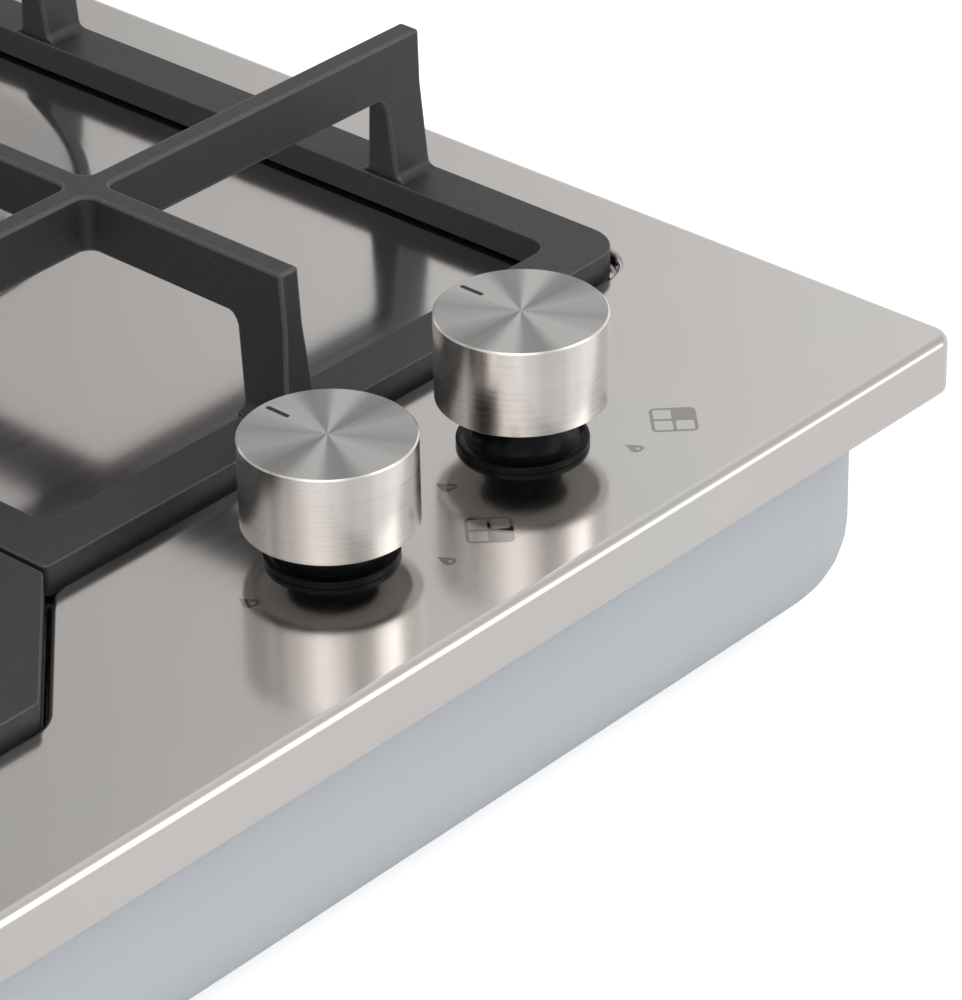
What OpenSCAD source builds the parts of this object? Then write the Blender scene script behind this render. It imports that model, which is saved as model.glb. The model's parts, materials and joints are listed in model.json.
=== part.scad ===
// Built-in gas cooktop: steel deck, drawn pan, three cast grates, four burners and four push-and-turn knobs.
// Millimetres. +X is to the right, +Y to the back, +Z up, from the middle of the pan's underside.

/* [Deck] */
// Width of the deck
deck_w = 590; // [570:5:640]
// Depth of the deck
deck_d = 510; // [500:5:540]
// Height of the deck's top above the pan's underside
deck_top = 67; // [65:1:80]
// Thickness of the deck's steel
deck_t = 0.8; // [0.6:0.1:1.2]
// Plan radius of the deck's corners
deck_corner_r = 5.5; // [4:0.5:10]
// Radius of the roll between the deck and its lip
deck_roll_r = 2.5; // [1.5:0.5:3.5]
// Height of the lip round the deck
lip_h = 13.8; // [10:0.2:18]
// Width of the flange turned in under the lip
lip_flange_w = 6; // [4:0.5:7]

/* [Recess] */
// Depth of the recess in which the grates stand
recess_drop = 3; // [2:0.5:4]
// Distance from the deck's side edge to the recess
recess_side = 20.5; // [16:0.5:30]
// Distance from the deck's front edge to the side sections of the recess
recess_front = 74.5; // [70:0.5:80]
// Distance from the deck's front edge to the centre section of the recess
recess_centre_front = 40; // [34:0.5:46]
// Width of the centre section's front edge, between its slanted corners
recess_centre_w = 115; // [108:1:126]
// Plan radius of the recess's corners
recess_corner_r = 6.5; // [4:0.5:10]
// Drop of the dish round each burner, below the recess
dish_drop = 4; // [2:0.5:5]
// Radius of each dish's flat floor
dish_floor_r = 61; // [60:1:64]
// Radius of each dish's upper rim
dish_rim_r = 78; // [72:1:80]

/* [Pan] */
// Distance from the deck's edge to the pan's wall
pan_setback = 9; // [8.5:0.5:14]
// Thickness of the pan's steel
pan_t = 0.8; // [0.6:0.1:1.2]
// Plan radius of the pan's corners
pan_corner_r = 26; // [20:1:34]
// Radius of the roll round the pan's underside
pan_roll_r = 24; // [10:1:25]
// Spacing of the bracket holes across the pan's floor
bracket_hole_x = 440; // [400:5:480]
// Spacing of the bracket holes from front to back
bracket_hole_y = 400; // [380:5:420]
// Radius of each bracket hole
bracket_hole_r = 2.2; // [1.7:0.1:3]

/* [Burners] */
// Distance from the deck's side edge to the centre of a side burner
burner_side = 126; // [122:1:130]
// Distance between the centres of the front and rear burners
burner_pitch = 230; // [224:2:236]
// Radii of the flame spreaders: front, right, rear, left
spreader_r = [19, 30, 30, 45];
// Height of a flame spreader above the burner cup
spreader_h = 12; // [10:0.5:14]
// Thickness of a burner cap
cap_t = 6; // [4:0.5:7]
// Overhang of a burner cap beyond its spreader
cap_overhang = 3; // [2:0.5:4]
// Depth of a burner cup below its dish
cup_depth = 27; // [24:0.5:28]
// Radius of an injector
injector_r = 4; // [3:0.25:4.5]

/* [Grates] */
// Width of the flat member that frames each grate
member_w = 12.6; // [10:0.2:15]
// Height of that member
member_h = 7; // [5:0.5:8]
// Height of the bars' tops above the deck
bar_top = 39.4; // [37:0.2:46]
// Width of a bar
bar_w = 5.6; // [4.6:0.2:7]
// Height of a bar
bar_h = 13.4; // [10:0.2:14]
// Running gap round and between the grates
grate_gap = 1.3; // [1:0.1:2]
// Radius of the opening that the bars leave over a burner
finger_gap_r = 37; // [36:0.5:42]
// Outer corner radius of a side grate
grate_corner_r = 10; // [7:0.5:13]
// Thickness of the rubber feet under the grates
foot_t = 1; // [0.5:0.25:1.5]

/* [Knobs] */
// Diameter of a knob
knob_dia = 37; // [34:0.5:39]
// Height of a knob
knob_h = 20; // [18:0.2:24]
// Thickness of a knob's wall and top
knob_wall = 2.2; // [1.6:0.2:2.6]
// Distance from the deck's front edge to the knobs' axes
knob_front = 41.5; // [40:0.5:44]
// Distance from the deck's side edge to the outer knob's axis
knob_side = 96.9; // [94:0.1:100]
// Distance between the two knobs at each corner
knob_pitch = 58.9; // [56:0.1:62]
// Height of the undersides of the knobs above the deck: front, right, rear, left
knob_rise = [8, 11.3, 11.3, 11.3];
// Travel of a knob when it is pushed down
push_travel = 3; // [2:0.5:3.5]
// Radius of the rubber seal round each spindle
seal_r = 14.2; // [12:0.2:14.6]
// Radius of the seal's neck
seal_neck_r = 8.3; // [7:0.1:9]
// Radius of a tap's spindle
stem_r = 3; // [2.5:0.1:3.5]

/* [Gas line] */
// Radius of the gas rail
rail_r = 8; // [7:0.5:9]
// Height of the rail's axis above the pan's underside
rail_z = 17; // [14:0.5:18]
// Radius of a feed tube
tube_r = 4; // [3:0.25:4.5]
// Radius of the supply pipe
supply_r = 6; // [5:0.25:7]
// Radius of the inlet's threaded end
inlet_r = 10.48; // [8:0.01:12]
// Length of the inlet's threaded end, clear of its lock nut
inlet_thread = 14; // [10:0.5:15]
// Height of the inlet's axis
inlet_z = 24; // [20:0.5:26]

/* [Hidden] */
$fn = 64;
FRONT = 0;
RIGHT = 1;
REAR = 2;
LEFT = 3;

// One overrun serves all cuts
over = 1;
// Clearance of a piece that sits in another, and of a turning or sliding fit
seat_gap = 0.3;
fit_gap = 0.05;
// Steps in a rolled edge, in a small fillet and in a tube's bend, and the sides of a tube
roll_steps = 8;
fillet_steps = 5;
bend_steps = 4;
tube_sides = 16;

// Colours as the photograph shows them
steel_colour = [0.76, 0.74, 0.72];
pan_colour = [0.76, 0.78, 0.80];
iron_colour = [0.24, 0.24, 0.25];
rubber_colour = [0.12, 0.12, 0.13];
knob_colour = [0.80, 0.78, 0.75];
brass_colour = [0.80, 0.65, 0.35];
alloy_colour = [0.66, 0.67, 0.68];
plastic_colour = [0.92, 0.92, 0.90];
enamel_colour = [0.10, 0.10, 0.11];

// Levels
lip_bottom = deck_top - lip_h;
deck_under = deck_top - deck_t;
recess_floor = deck_top - recess_drop;
dish_floor = recess_floor - dish_drop;

// Outline of the recess: its edges, and where its slanted corners run
recess_x = deck_w / 2 - recess_side;
recess_y = deck_d / 2 - recess_front;
recess_centre_y = deck_d / 2 - recess_centre_front;
slant_sum = recess_centre_w / 2 + recess_centre_y;

// Pan
pan_w = deck_w - 2 * pan_setback;
pan_d = deck_d - 2 * pan_setback;
pocket_side = 87;
pocket_x = deck_w / 2 - pocket_side;
pocket_w = 90;
pocket_depth = 14;
pocket_h = 50;
pocket_y = pan_d / 2 - pocket_depth;
vent_w = 4;
vent_l = 44;
vent_pitch = 12;
vent_count = 6;
vent_y = 60;

// Gasket under the lip
gasket_t = 1.5;
gasket_w = 4.4;
gasket_inset = 2.2;

// Tabs under the deck and the screws that hold the pan to them
tab_t = 1.5;
tab_w = 22;
tab_h = 13;
tab_side_y = 130;
tab_rear_x = 120;
pan_screw_r = 1.5;
pan_screw_l = 8;
pan_screw_head_r = 3.5;
pan_screw_head_h = 2;
pan_screw_z = deck_under - tab_h / 2;

// Burners: centres, cup sizes and the angles of what stands round each
burner_x = deck_w / 2 - burner_side;
BURNER = [[0, -burner_pitch / 2], [burner_x, 0], [0, burner_pitch / 2], [-burner_x, 0]];
cup_body_r = [15, 20, 20, 28];
collar_inset = 3;
collar_wall = 3;
collar_h = 4;
flange_extra = 12;
flange_t = 4;
chamber_depth = 8;
throat_r = 7;
throat_rise = 15;
electrode_angle = 40;
thermocouple_angle = 140;
cup_screw_angle = 90;
post_offset = 6.5;
electrode_r = 3;
electrode_pin_r = 1.1;
electrode_under = 22;
electrode_rise = 3;
electrode_pin_rise = 6;
thermocouple_r = 2;
thermocouple_rise = 8;
cup_screw_r = 1.8;
cup_screw_l = 8;
cup_screw_head_r = 3.6;
cup_screw_head_h = 2.2;
skirt_h = 6;
skirt_wall = 2.4;
port_w = 1.5;
port_h = 4.5;
port_pitch = 5.6;
port_sill = 5;
cap_crown = 1.2;
cap_edge = 1.6;
cap_spigot_h = 2;
cup_floor = dish_floor - cup_depth;
cup_inlet_drop = 20;
cup_inlet_z = dish_floor - cup_inlet_drop;
inlet_boss_wall = 2.5;
inlet_boss_l = 12;
tube_seat = 7;
tube_wall = 1;
injector_l = 5;
injector_head_r = 5.6;
injector_head_h = 3;
injector_bore_r = 0.6;
passage_r = 1.5;

// Grates
grate_w = (2 * (recess_x - grate_gap) - 2 * grate_gap) / 3;
side_grate_out = recess_x - grate_gap;
side_grate_in = side_grate_out - grate_w;
side_grate_y = recess_y - grate_gap;
centre_grate_x = grate_w / 2;
centre_grate_y = recess_centre_y - grate_gap;
centre_slant = slant_sum - grate_gap * sqrt(2);
member_bottom = recess_floor + foot_t;
member_top = member_bottom + member_h;
bar_z = deck_top + bar_top;
bar_under = bar_z - bar_h;
leg_flare = 1.7;
leg_root_r = 2.4;
leg_corner_r = 4;
tip_chamfer = 4;
cross_fillet = 3;
inner_corner_r = 5;
neighbour_corner_r = 1.5;
centre_corner_r = 3;
// A leg's set-back from the grate's edge at its foot, its lean, and its width along the bar
SIDE_LEG = [0.2, 0.9, 11.4];
END_LEG = [1.4, 2.6, 12.9];
foot_r = 4;
foot_pin_r = 1.8;
foot_pin_h = 3;

// Knobs and taps
KNOB = [[deck_w / 2 - knob_side - knob_pitch, knob_front - deck_d / 2],
    [deck_w / 2 - knob_side, knob_front - deck_d / 2],
    [knob_side + knob_pitch - deck_w / 2, knob_front - deck_d / 2],
    [knob_side - deck_w / 2, knob_front - deck_d / 2]];
knob_chamfer = 0.5;
pointer_w = 1.1;
pointer_l = 6.2;
pointer_corner_r = 0.5;
pointer_gap = 1.7;
pointer_depth = 0.3;
core_lift = 9.4;
core_r = 7;
core_disc_t = 2.5;
stem_flat = 0.8;
stem_tip_gap = 0.7;
stem_hole_r = 5;
seal_h = 13.8;
seal_flare_h = 8;
seal_rim_h = 1.6;
seal_rim_w = 1;
seal_web_h = 0.9;
seal_top_inset = 0.6;
tap_r = 11;
tap_wall = 3;
tap_saddle_w = 24;
tap_saddle_d = 26;
tap_saddle_h = 12;
tap_h = 19;
tap_plate_t = 3;
tap_plate_w = 34;
tap_plate_d = 24;
cone_r = 7;
cone_floor = 1.5;
tap_base = rail_z + tap_saddle_h;
tap_top = tap_base + tap_h;
tap_outlet_rise = 9;
tap_outlet_z = tap_base + tap_outlet_rise;
tap_outlet_l = 19;
switch_w = 26;
switch_d = 20;
switch_t = 5;

// Gas line and electrics
rail_over = 14;
bracket_x = 60;
bracket_w = 20;
bracket_d = 24;
supply_x = 40;
supply_bend = 30;
inlet_x = pocket_x + 20;
inlet_shank_r = 12;
inlet_hex_r = 16;
inlet_hex_l = 22;
inlet_bore_r = 6;
nut_r = 16.5;
nut_t = 5;
gland_x = pocket_x - 23;
gland_z = 24;
gland_r = 6;
gland_flange_r = 8.5;
gland_flange_t = 3;
gland_out = 6;
gland_in = 8;
gland_bore_r = 4.3;
gland_lip_r = 3.5;
gland_lip_l = 5;
module_w = 72;
module_d = 46;
module_h = 26;
module_side = 105;
module_back = 65;
module_pos = [module_side - deck_w / 2, deck_d / 2 - module_back];
block_w = 32;
block_d = 18;
block_h = 13;
block_screw_r = 2.2;
block_y = pocket_y - 2 * block_d;

// Flat shapes and helpers
module rounded_rect(w, d, r) {
    square([w - 2 * r, d], center = true);
    square([w, d - 2 * r], center = true);
    for (sx = [-1, 1], sy = [-1, 1])
        translate([sx * (w / 2 - r), sy * (d / 2 - r)]) circle(r);
}

function arc(cx, cy, r, from, to, steps) =
    [for (i = [0 : steps]) let (a = from + (to - from) * i / steps) [cx + r * cos(a), cy + r * sin(a)]];

// Half section of a slab's edge, from r inside the edge to the edge, with its upper corner rolled
function edge_section(r, h, roll) =
    concat([[0, 0], [r, 0]], arc(r - roll, h - roll, roll, 0, 90, roll_steps), [[0, h]]);

// Slab with rounded corners in plan and a rolled upper edge
module rolled_slab(w, d, h, r, roll) {
    cube_w = w - 2 * r;
    cube_d = d - 2 * r;
    translate([-cube_w / 2, -cube_d / 2, 0]) cube([cube_w, cube_d, h]);
    for (side = [0, 1]) mirror([side, 0, 0]) translate([cube_w / 2, 0, 0])
        rotate([90, 0, 0]) linear_extrude(cube_d, center = true) polygon(edge_section(r, h, roll));
    for (side = [0, 1]) mirror([0, side, 0]) translate([0, cube_d / 2, 0])
        rotate([90, 0, 90]) linear_extrude(cube_w, center = true) polygon(edge_section(r, h, roll));
    for (sx = [0, 1], sy = [0, 1]) mirror([sx, 0, 0]) mirror([0, sy, 0])
        translate([cube_w / 2, cube_d / 2, 0])
            rotate_extrude(angle = 90) polygon(edge_section(r, h, roll));
}

// Plan of the recess, grown or shrunk by an inset
module recess_plan(inset) {
    x = recess_x - inset;
    y = recess_y - inset;
    cy = recess_centre_y - inset;
    slant = slant_sum - inset * sqrt(2);
    offset(r = recess_corner_r) offset(delta = -2 * recess_corner_r) offset(r = recess_corner_r)
        polygon([[x, y], [slant - y, y], [slant - cy, cy], [cy - slant, cy], [y - slant, y], [-x, y],
            [-x, -y], [y - slant, -y], [cy - slant, -cy], [slant - cy, -cy], [slant - y, -y], [x, -y]]);
}

// Cylinder whose axis lies along +Y, from a point
module along_y(p, r, l) {
    translate(p) rotate([-90, 0, 0]) cylinder(r = r, h = l);
}

// Tube swept along a path that is nowhere upright, as one polyhedron with its bore
function unit(v) = v / norm(v);
function soften(p, r, steps) = concat([p[0]],
    [for (i = [1 : len(p) - 2])
        let (a = p[i] - r * unit(p[i] - p[i - 1]), b = p[i] + r * unit(p[i + 1] - p[i]))
        for (s = [0 : steps]) let (t = s / steps)
            (1 - t) * (1 - t) * a + 2 * t * (1 - t) * p[i] + t * t * b],
    [p[len(p) - 1]]);
function heading(p, i) = unit(p[min(i + 1, len(p) - 1)] - p[max(i - 1, 0)]);
function ring(p, i, r, sides) = let (t = heading(p, i), s = unit(cross(t, [0, 0, 1])), n = cross(s, t))
    [for (k = [0 : sides - 1]) p[i] + r * (cos(360 * k / sides) * s + sin(360 * k / sides) * n)];
module pipe(points, r, bore, bend) {
    sides = tube_sides;
    p = soften(points, bend, bend_steps);
    m = len(p);
    verts = concat([for (i = [0 : m - 1]) each ring(p, i, r, sides)],
        [for (i = [0 : m - 1]) each ring(p, i, bore, sides)]);
    inner = m * sides;
    faces = concat(
        [for (i = [0 : m - 2], k = [0 : sides - 1]) let (j = (k + 1) % sides)
            [i * sides + k, i * sides + j, (i + 1) * sides + j, (i + 1) * sides + k]],
        [for (i = [0 : m - 2], k = [0 : sides - 1]) let (j = (k + 1) % sides)
            [inner + (i + 1) * sides + k, inner + (i + 1) * sides + j,
                inner + i * sides + j, inner + i * sides + k]],
        [for (k = [0 : sides - 1]) let (j = (k + 1) % sides) [k, inner + k, inner + j, j]],
        [for (k = [0 : sides - 1]) let (j = (k + 1) % sides, last = (m - 1) * sides)
            [last + j, inner + last + j, inner + last + k, last + k]]);
    polyhedron(points = verts, faces = faces);
}

// Place of what stands beside a burner: an electrode, a thermocouple or a screw
function beside(i, angle, extra) = [BURNER[i][0] + (spreader_r[i] + extra) * cos(angle),
    BURNER[i][1] + (spreader_r[i] + extra) * sin(angle), 0];

module deck() {
    color(steel_colour) difference() {
        union() {
            difference() {
                translate([0, 0, lip_bottom]) rolled_slab(deck_w, deck_d, lip_h, deck_corner_r, deck_roll_r);
                translate([0, 0, lip_bottom - over]) rolled_slab(deck_w - 2 * deck_t, deck_d - 2 * deck_t,
                    lip_h - deck_t + over, deck_corner_r - deck_t, deck_roll_r - deck_t);
            }
            lip_flange();
            translate([0, 0, recess_floor - deck_t])
                linear_extrude(deck_under - recess_floor + 2 * deck_t) recess_plan(-deck_t);
            for (b = BURNER) translate([b[0], b[1], dish_floor - deck_t])
                cylinder(r1 = dish_floor_r + deck_t, r2 = dish_rim_r + deck_t, h = dish_drop);
            pan_tabs();
        }
        translate([0, 0, recess_floor]) linear_extrude(recess_drop + over) recess_plan(0);
        for (b = BURNER) translate([b[0], b[1], dish_floor])
            cylinder(r1 = dish_floor_r, r2 = dish_rim_r, h = dish_drop);
        deck_holes();
    }
}

module lip_flange() {
    translate([0, 0, lip_bottom]) linear_extrude(deck_t) difference() {
        rounded_rect(deck_w - deck_t, deck_d - deck_t, deck_corner_r - deck_t / 2);
        rounded_rect(deck_w - 2 * (deck_t + lip_flange_w), deck_d - 2 * (deck_t + lip_flange_w),
            pan_corner_r);
    }
}

module deck_holes() {
    for (i = [FRONT : LEFT]) {
        translate([BURNER[i][0], BURNER[i][1], cup_floor])
            cylinder(r = spreader_r[i] - collar_inset + seat_gap, h = deck_top - cup_floor);
        for (hole = [[electrode_angle, electrode_r], [thermocouple_angle, thermocouple_r],
                [-cup_screw_angle, cup_screw_r], [cup_screw_angle, cup_screw_r]])
            translate(beside(i, hole[0], post_offset)) translate([0, 0, cup_floor])
                cylinder(r = hole[1] + seat_gap, h = deck_top - cup_floor, $fn = 32);
        translate([KNOB[i][0], KNOB[i][1], lip_bottom])
            cylinder(r = stem_hole_r, h = lip_h + over, $fn = 32);
    }
    for (side = [0, 1]) mirror([side, 0, 0]) for (y = [-tab_side_y, tab_side_y])
        translate([pan_w / 2 - tab_w, y, pan_screw_z]) rotate([0, 90, 0])
            cylinder(r = pan_screw_r, h = tab_w, $fn = 24);
    for (x = [-tab_rear_x, tab_rear_x])
        along_y([x, pan_d / 2 - tab_w, pan_screw_z], pan_screw_r, tab_w, $fn = 24);
}

module pan_tabs() {
    tab_x = pan_w / 2 - pan_t - fit_gap - tab_t;
    tab_y = pan_d / 2 - pan_t - fit_gap - tab_t;
    for (side = [0, 1]) mirror([side, 0, 0]) for (y = [-tab_side_y, tab_side_y])
        translate([tab_x, y - tab_w / 2, deck_under - tab_h]) cube([tab_t, tab_w, tab_h + deck_t / 2]);
    for (x = [-tab_rear_x, tab_rear_x])
        translate([x - tab_w / 2, tab_y, deck_under - tab_h]) cube([tab_w, tab_t, tab_h + deck_t / 2]);
}

// Pan: a drawn box, open at the top, with a pocket for the inlet and the cable
module pan_form(inset) {
    translate([0, 0, deck_under]) mirror([0, 0, 1])
        rolled_slab(pan_w - 2 * inset, pan_d - 2 * inset, deck_under - inset, pan_corner_r - inset,
            pan_roll_r - inset);
}

module pocket(inset) {
    translate([pocket_x - pocket_w / 2 - inset, pocket_y - inset, -over])
        cube([pocket_w + 2 * inset, pocket_depth + inset + over, pocket_h + inset + over]);
}

module pan() {
    color(pan_colour) difference() {
        pan_form(0);
        difference() {
            union() {
                pan_form(pan_t);
                translate([0, 0, deck_under]) linear_extrude(over)
                    rounded_rect(pan_w - 2 * pan_t, pan_d - 2 * pan_t, pan_corner_r - pan_t);
            }
            pocket(pan_t);
        }
        pocket(0);
        along_y([inlet_x, pocket_y - pan_t - over, inlet_z], inlet_shank_r + seat_gap, pan_t + 2 * over);
        along_y([gland_x, pocket_y - pan_t - over, gland_z], gland_r + seat_gap, pan_t + 2 * over);
        for (x = [-bracket_hole_x / 2, bracket_hole_x / 2], y = [-bracket_hole_y / 2, bracket_hole_y / 2])
            translate([x, y, -over]) cylinder(r = bracket_hole_r, h = pan_t + 2 * over, $fn = 24);
        for (side = [-1, 1], i = [0 : vent_count - 1])
            translate([side * burner_x, side * vent_y + (i - (vent_count - 1) / 2) * vent_pitch, 0])
                cube([vent_l, vent_w, 2 * pan_t + 2 * over], center = true);
        for (side = [0, 1]) mirror([side, 0, 0]) for (y = [-tab_side_y, tab_side_y])
            translate([pan_w / 2 - pan_t - over, y, pan_screw_z]) rotate([0, 90, 0])
                cylinder(r = pan_screw_r + fit_gap, h = pan_t + 2 * over, $fn = 24);
        for (x = [-tab_rear_x, tab_rear_x])
            along_y([x, pan_d / 2 - pan_t - over, pan_screw_z], pan_screw_r + fit_gap,
                pan_t + 2 * over, $fn = 24);
    }
}

module worktop_gasket() {
    inner = gasket_inset + gasket_w;
    color(rubber_colour) translate([0, 0, lip_bottom - gasket_t]) linear_extrude(gasket_t) difference() {
        rounded_rect(deck_w - 2 * gasket_inset, deck_d - 2 * gasket_inset, deck_corner_r - gasket_inset);
        rounded_rect(deck_w - 2 * inner, deck_d - 2 * inner, pan_corner_r);
    }
}

// Screw whose head lies at z = 0 upwards and whose shank runs down
module screw(r, l, head_r, head_h) {
    translate([0, 0, -l]) cylinder(r = r, h = l + head_h / 2, $fn = 24);
    difference() {
        cylinder(r = head_r, h = head_h, $fn = 32);
        for (turn = [0, 90]) rotate([0, 0, turn])
            translate([-head_r / 2, -head_r / 8, head_h / 2]) cube([head_r, head_r / 4, head_h]);
    }
}

module pan_screws() {
    color(alloy_colour) {
        for (side = [0, 1]) mirror([side, 0, 0]) for (y = [-tab_side_y, tab_side_y])
            translate([pan_w / 2, y, pan_screw_z]) rotate([0, 90, 0])
                screw(pan_screw_r, pan_screw_l, pan_screw_head_r, pan_screw_head_h);
        for (x = [-tab_rear_x, tab_rear_x]) translate([x, pan_d / 2, pan_screw_z]) rotate([-90, 0, 0])
            screw(pan_screw_r, pan_screw_l, pan_screw_head_r, pan_screw_head_h);
    }
}

module cup_screws() {
    color(alloy_colour) for (i = [FRONT : LEFT], angle = [-cup_screw_angle, cup_screw_angle])
        translate(beside(i, angle, post_offset)) translate([0, 0, dish_floor])
            screw(cup_screw_r, cup_screw_l, cup_screw_head_r, cup_screw_head_h);
}

// Gas line
rail_left = KNOB[LEFT][0] - rail_over;
rail_right = KNOB[RIGHT][0] + rail_over;
rail_y = KNOB[FRONT][1];

module gas_rail() {
    color(alloy_colour) difference() {
        translate([rail_left, rail_y, rail_z]) rotate([0, 90, 0])
            cylinder(r = rail_r, h = rail_right - rail_left);
        translate([rail_left + tube_wall, rail_y, rail_z]) rotate([0, 90, 0])
            cylinder(r = rail_r - tube_wall, h = rail_right - rail_left - 2 * tube_wall);
        translate([rail_right - 2 * tube_wall, rail_y, rail_z]) rotate([0, 90, 0])
            cylinder(r = supply_r - tube_wall, h = 3 * tube_wall);
        for (k = KNOB) translate([k[0], k[1], rail_z]) cylinder(r = passage_r, h = rail_r + over, $fn = 24);
    }
}

module rail_brackets() {
    color(alloy_colour) for (x = [-bracket_x, bracket_x]) difference() {
        translate([x - bracket_w / 2, pan_roll_r - pan_d / 2, pan_t])
            cube([bracket_w, bracket_d, rail_z - rail_r / 2 - pan_t]);
        translate([x - bracket_w, rail_y, rail_z]) rotate([0, 90, 0])
            cylinder(r = rail_r, h = 2 * bracket_w);
    }
}

supply_side = deck_w / 2 - supply_x;
inlet_back = pocket_y - pan_t - inlet_hex_l;

module supply_pipe() {
    color(brass_colour) pipe([[rail_right, rail_y, rail_z], [supply_side, rail_y, rail_z],
        [supply_side, inlet_back - 2 * supply_bend, rail_z], [inlet_x, inlet_back - supply_bend, inlet_z],
        [inlet_x, inlet_back, inlet_z]], supply_r, supply_r - tube_wall, supply_bend / 2);
}

module gas_inlet() {
    color(brass_colour) difference() {
        union() {
            translate([inlet_x, inlet_back, inlet_z]) rotate([-90, 0, 0])
                cylinder(r = inlet_hex_r, h = inlet_hex_l, $fn = 6);
            along_y([inlet_x, inlet_back, inlet_z], inlet_shank_r, inlet_hex_l + pan_t + nut_t);
            along_y([inlet_x, inlet_back, inlet_z], inlet_r, inlet_hex_l + pan_t + nut_t + inlet_thread);
        }
        along_y([inlet_x, inlet_back + tube_wall * 2, inlet_z], inlet_bore_r,
            inlet_hex_l + pan_t + nut_t + inlet_thread);
        along_y([inlet_x, inlet_back - over, inlet_z], supply_r - tube_wall, inlet_hex_l);
    }
}

module inlet_nut() {
    color(brass_colour) difference() {
        translate([inlet_x, pocket_y, inlet_z]) rotate([-90, 0, 0]) cylinder(r = nut_r, h = nut_t, $fn = 6);
        along_y([inlet_x, pocket_y - over, inlet_z], inlet_shank_r + fit_gap, nut_t + 2 * over);
    }
}

module ignition_module() {
    color(plastic_colour) translate([module_pos[0], module_pos[1], pan_t]) {
        linear_extrude(module_h) rounded_rect(module_w, module_d, module_d / 10);
        for (side = [-1, 1]) translate([side * module_w / 2, 0, 0]) linear_extrude(module_h / 8)
            rounded_rect(module_d / 2, module_d / 2, module_d / 8);
    }
}

module terminal_block() {
    color(plastic_colour) translate([gland_x, block_y, pan_t]) difference() {
        linear_extrude(block_h) square([block_w, block_d], center = true);
        for (i = [-1, 0, 1]) translate([i * block_w / 4, 0, block_h / 2])
            cylinder(r = block_screw_r, h = block_h, $fn = 24);
    }
}

module cable_gland() {
    color(rubber_colour) difference() {
        union() {
            along_y([gland_x, pocket_y - pan_t - gland_in, gland_z], gland_r,
                gland_in + pan_t + gland_flange_t);
            along_y([gland_x, pocket_y, gland_z], gland_flange_r, gland_flange_t);
            along_y([gland_x, pocket_y + gland_flange_t, gland_z], gland_r, gland_out);
        }
        along_y([gland_x, pocket_y - pan_t - gland_in - over, gland_z], gland_bore_r,
            over + gland_in + pan_t + gland_flange_t + gland_out - gland_lip_l);
        along_y([gland_x, pocket_y, gland_z], gland_lip_r, gland_flange_t + gland_out + over);
    }
}

// Taps
module tap_body(i) {
    color(brass_colour) translate([KNOB[i][0], KNOB[i][1], 0]) difference() {
        union() {
            translate([-tap_saddle_w / 2, -tap_saddle_d / 2, rail_z])
                cube([tap_saddle_w, tap_saddle_d, tap_saddle_h]);
            translate([0, 0, tap_base - tap_wall]) cylinder(r = tap_r, h = tap_h - tap_plate_t + tap_wall);
            translate([0, 0, tap_top - tap_plate_t]) linear_extrude(tap_plate_t)
                rounded_rect(tap_plate_w, tap_plate_d, tap_plate_d / 4);
            along_y([0, 0, tap_outlet_z], tube_r + inlet_boss_wall, tap_outlet_l);
        }
        translate([-tap_saddle_w, 0, rail_z]) rotate([0, 90, 0]) cylinder(r = rail_r, h = 2 * tap_saddle_w);
        translate([0, 0, tap_base]) cylinder(r = cone_r, h = tap_h - tap_plate_t);
        translate([0, 0, tap_base]) cylinder(r = stem_r + fit_gap, h = tap_h + over);
        translate([0, 0, rail_z]) cylinder(r = passage_r, h = tap_saddle_h + over, $fn = 24);
        along_y([0, tap_outlet_l - tube_seat, tap_outlet_z], tube_r + fit_gap, tube_seat + over);
        along_y([0, cone_r / 2, tap_outlet_z], passage_r, tap_outlet_l);
    }
}

module spindle_bore(z, h) {
    difference() {
        translate([0, 0, z]) cylinder(r = stem_r + fit_gap, h = h, $fn = 48);
        translate([-stem_r, stem_r - stem_flat + fit_gap, z - over])
            cube([2 * stem_r, 2 * stem_r, h + 2 * over]);
    }
}

module tap_cone(i) {
    h = tap_h - tap_plate_t - 2 * seat_gap;
    color(brass_colour) translate([KNOB[i][0], KNOB[i][1], tap_base + seat_gap]) difference() {
        cylinder(r = cone_r - fit_gap, h = h);
        spindle_bore(cone_floor, h);
    }
}

function knob_base(i) = deck_top + knob_rise[i];
stem_foot = tap_base + seat_gap + cone_floor + push_travel + stem_tip_gap;

module stem(i) {
    top = knob_base(i) + knob_h - knob_wall - stem_tip_gap;
    cone_top = tap_base + tap_h - tap_plate_t;
    color(alloy_colour) translate([KNOB[i][0], KNOB[i][1], 0]) difference() {
        translate([0, 0, stem_foot]) cylinder(r = stem_r, h = top - stem_foot, $fn = 48);
        translate([-stem_r, stem_r - stem_flat, stem_foot - over])
            cube([2 * stem_r, 2 * stem_r, cone_top + push_travel - stem_foot + over]);
        translate([-stem_r, stem_r - stem_flat, knob_base(i) + core_lift - over])
            cube([2 * stem_r, 2 * stem_r, knob_h]);
    }
}

module knob_core(i) {
    h = knob_h - knob_wall - core_lift;
    color(rubber_colour) translate([KNOB[i][0], KNOB[i][1], knob_base(i) + core_lift]) difference() {
        union() {
            cylinder(r = core_r, h = h);
            translate([0, 0, h - core_disc_t])
                cylinder(r = knob_dia / 2 - knob_wall - fit_gap, h = core_disc_t);
        }
        translate([0, 0, -over]) spindle_bore(0, h + 2 * over);
    }
}

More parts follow.
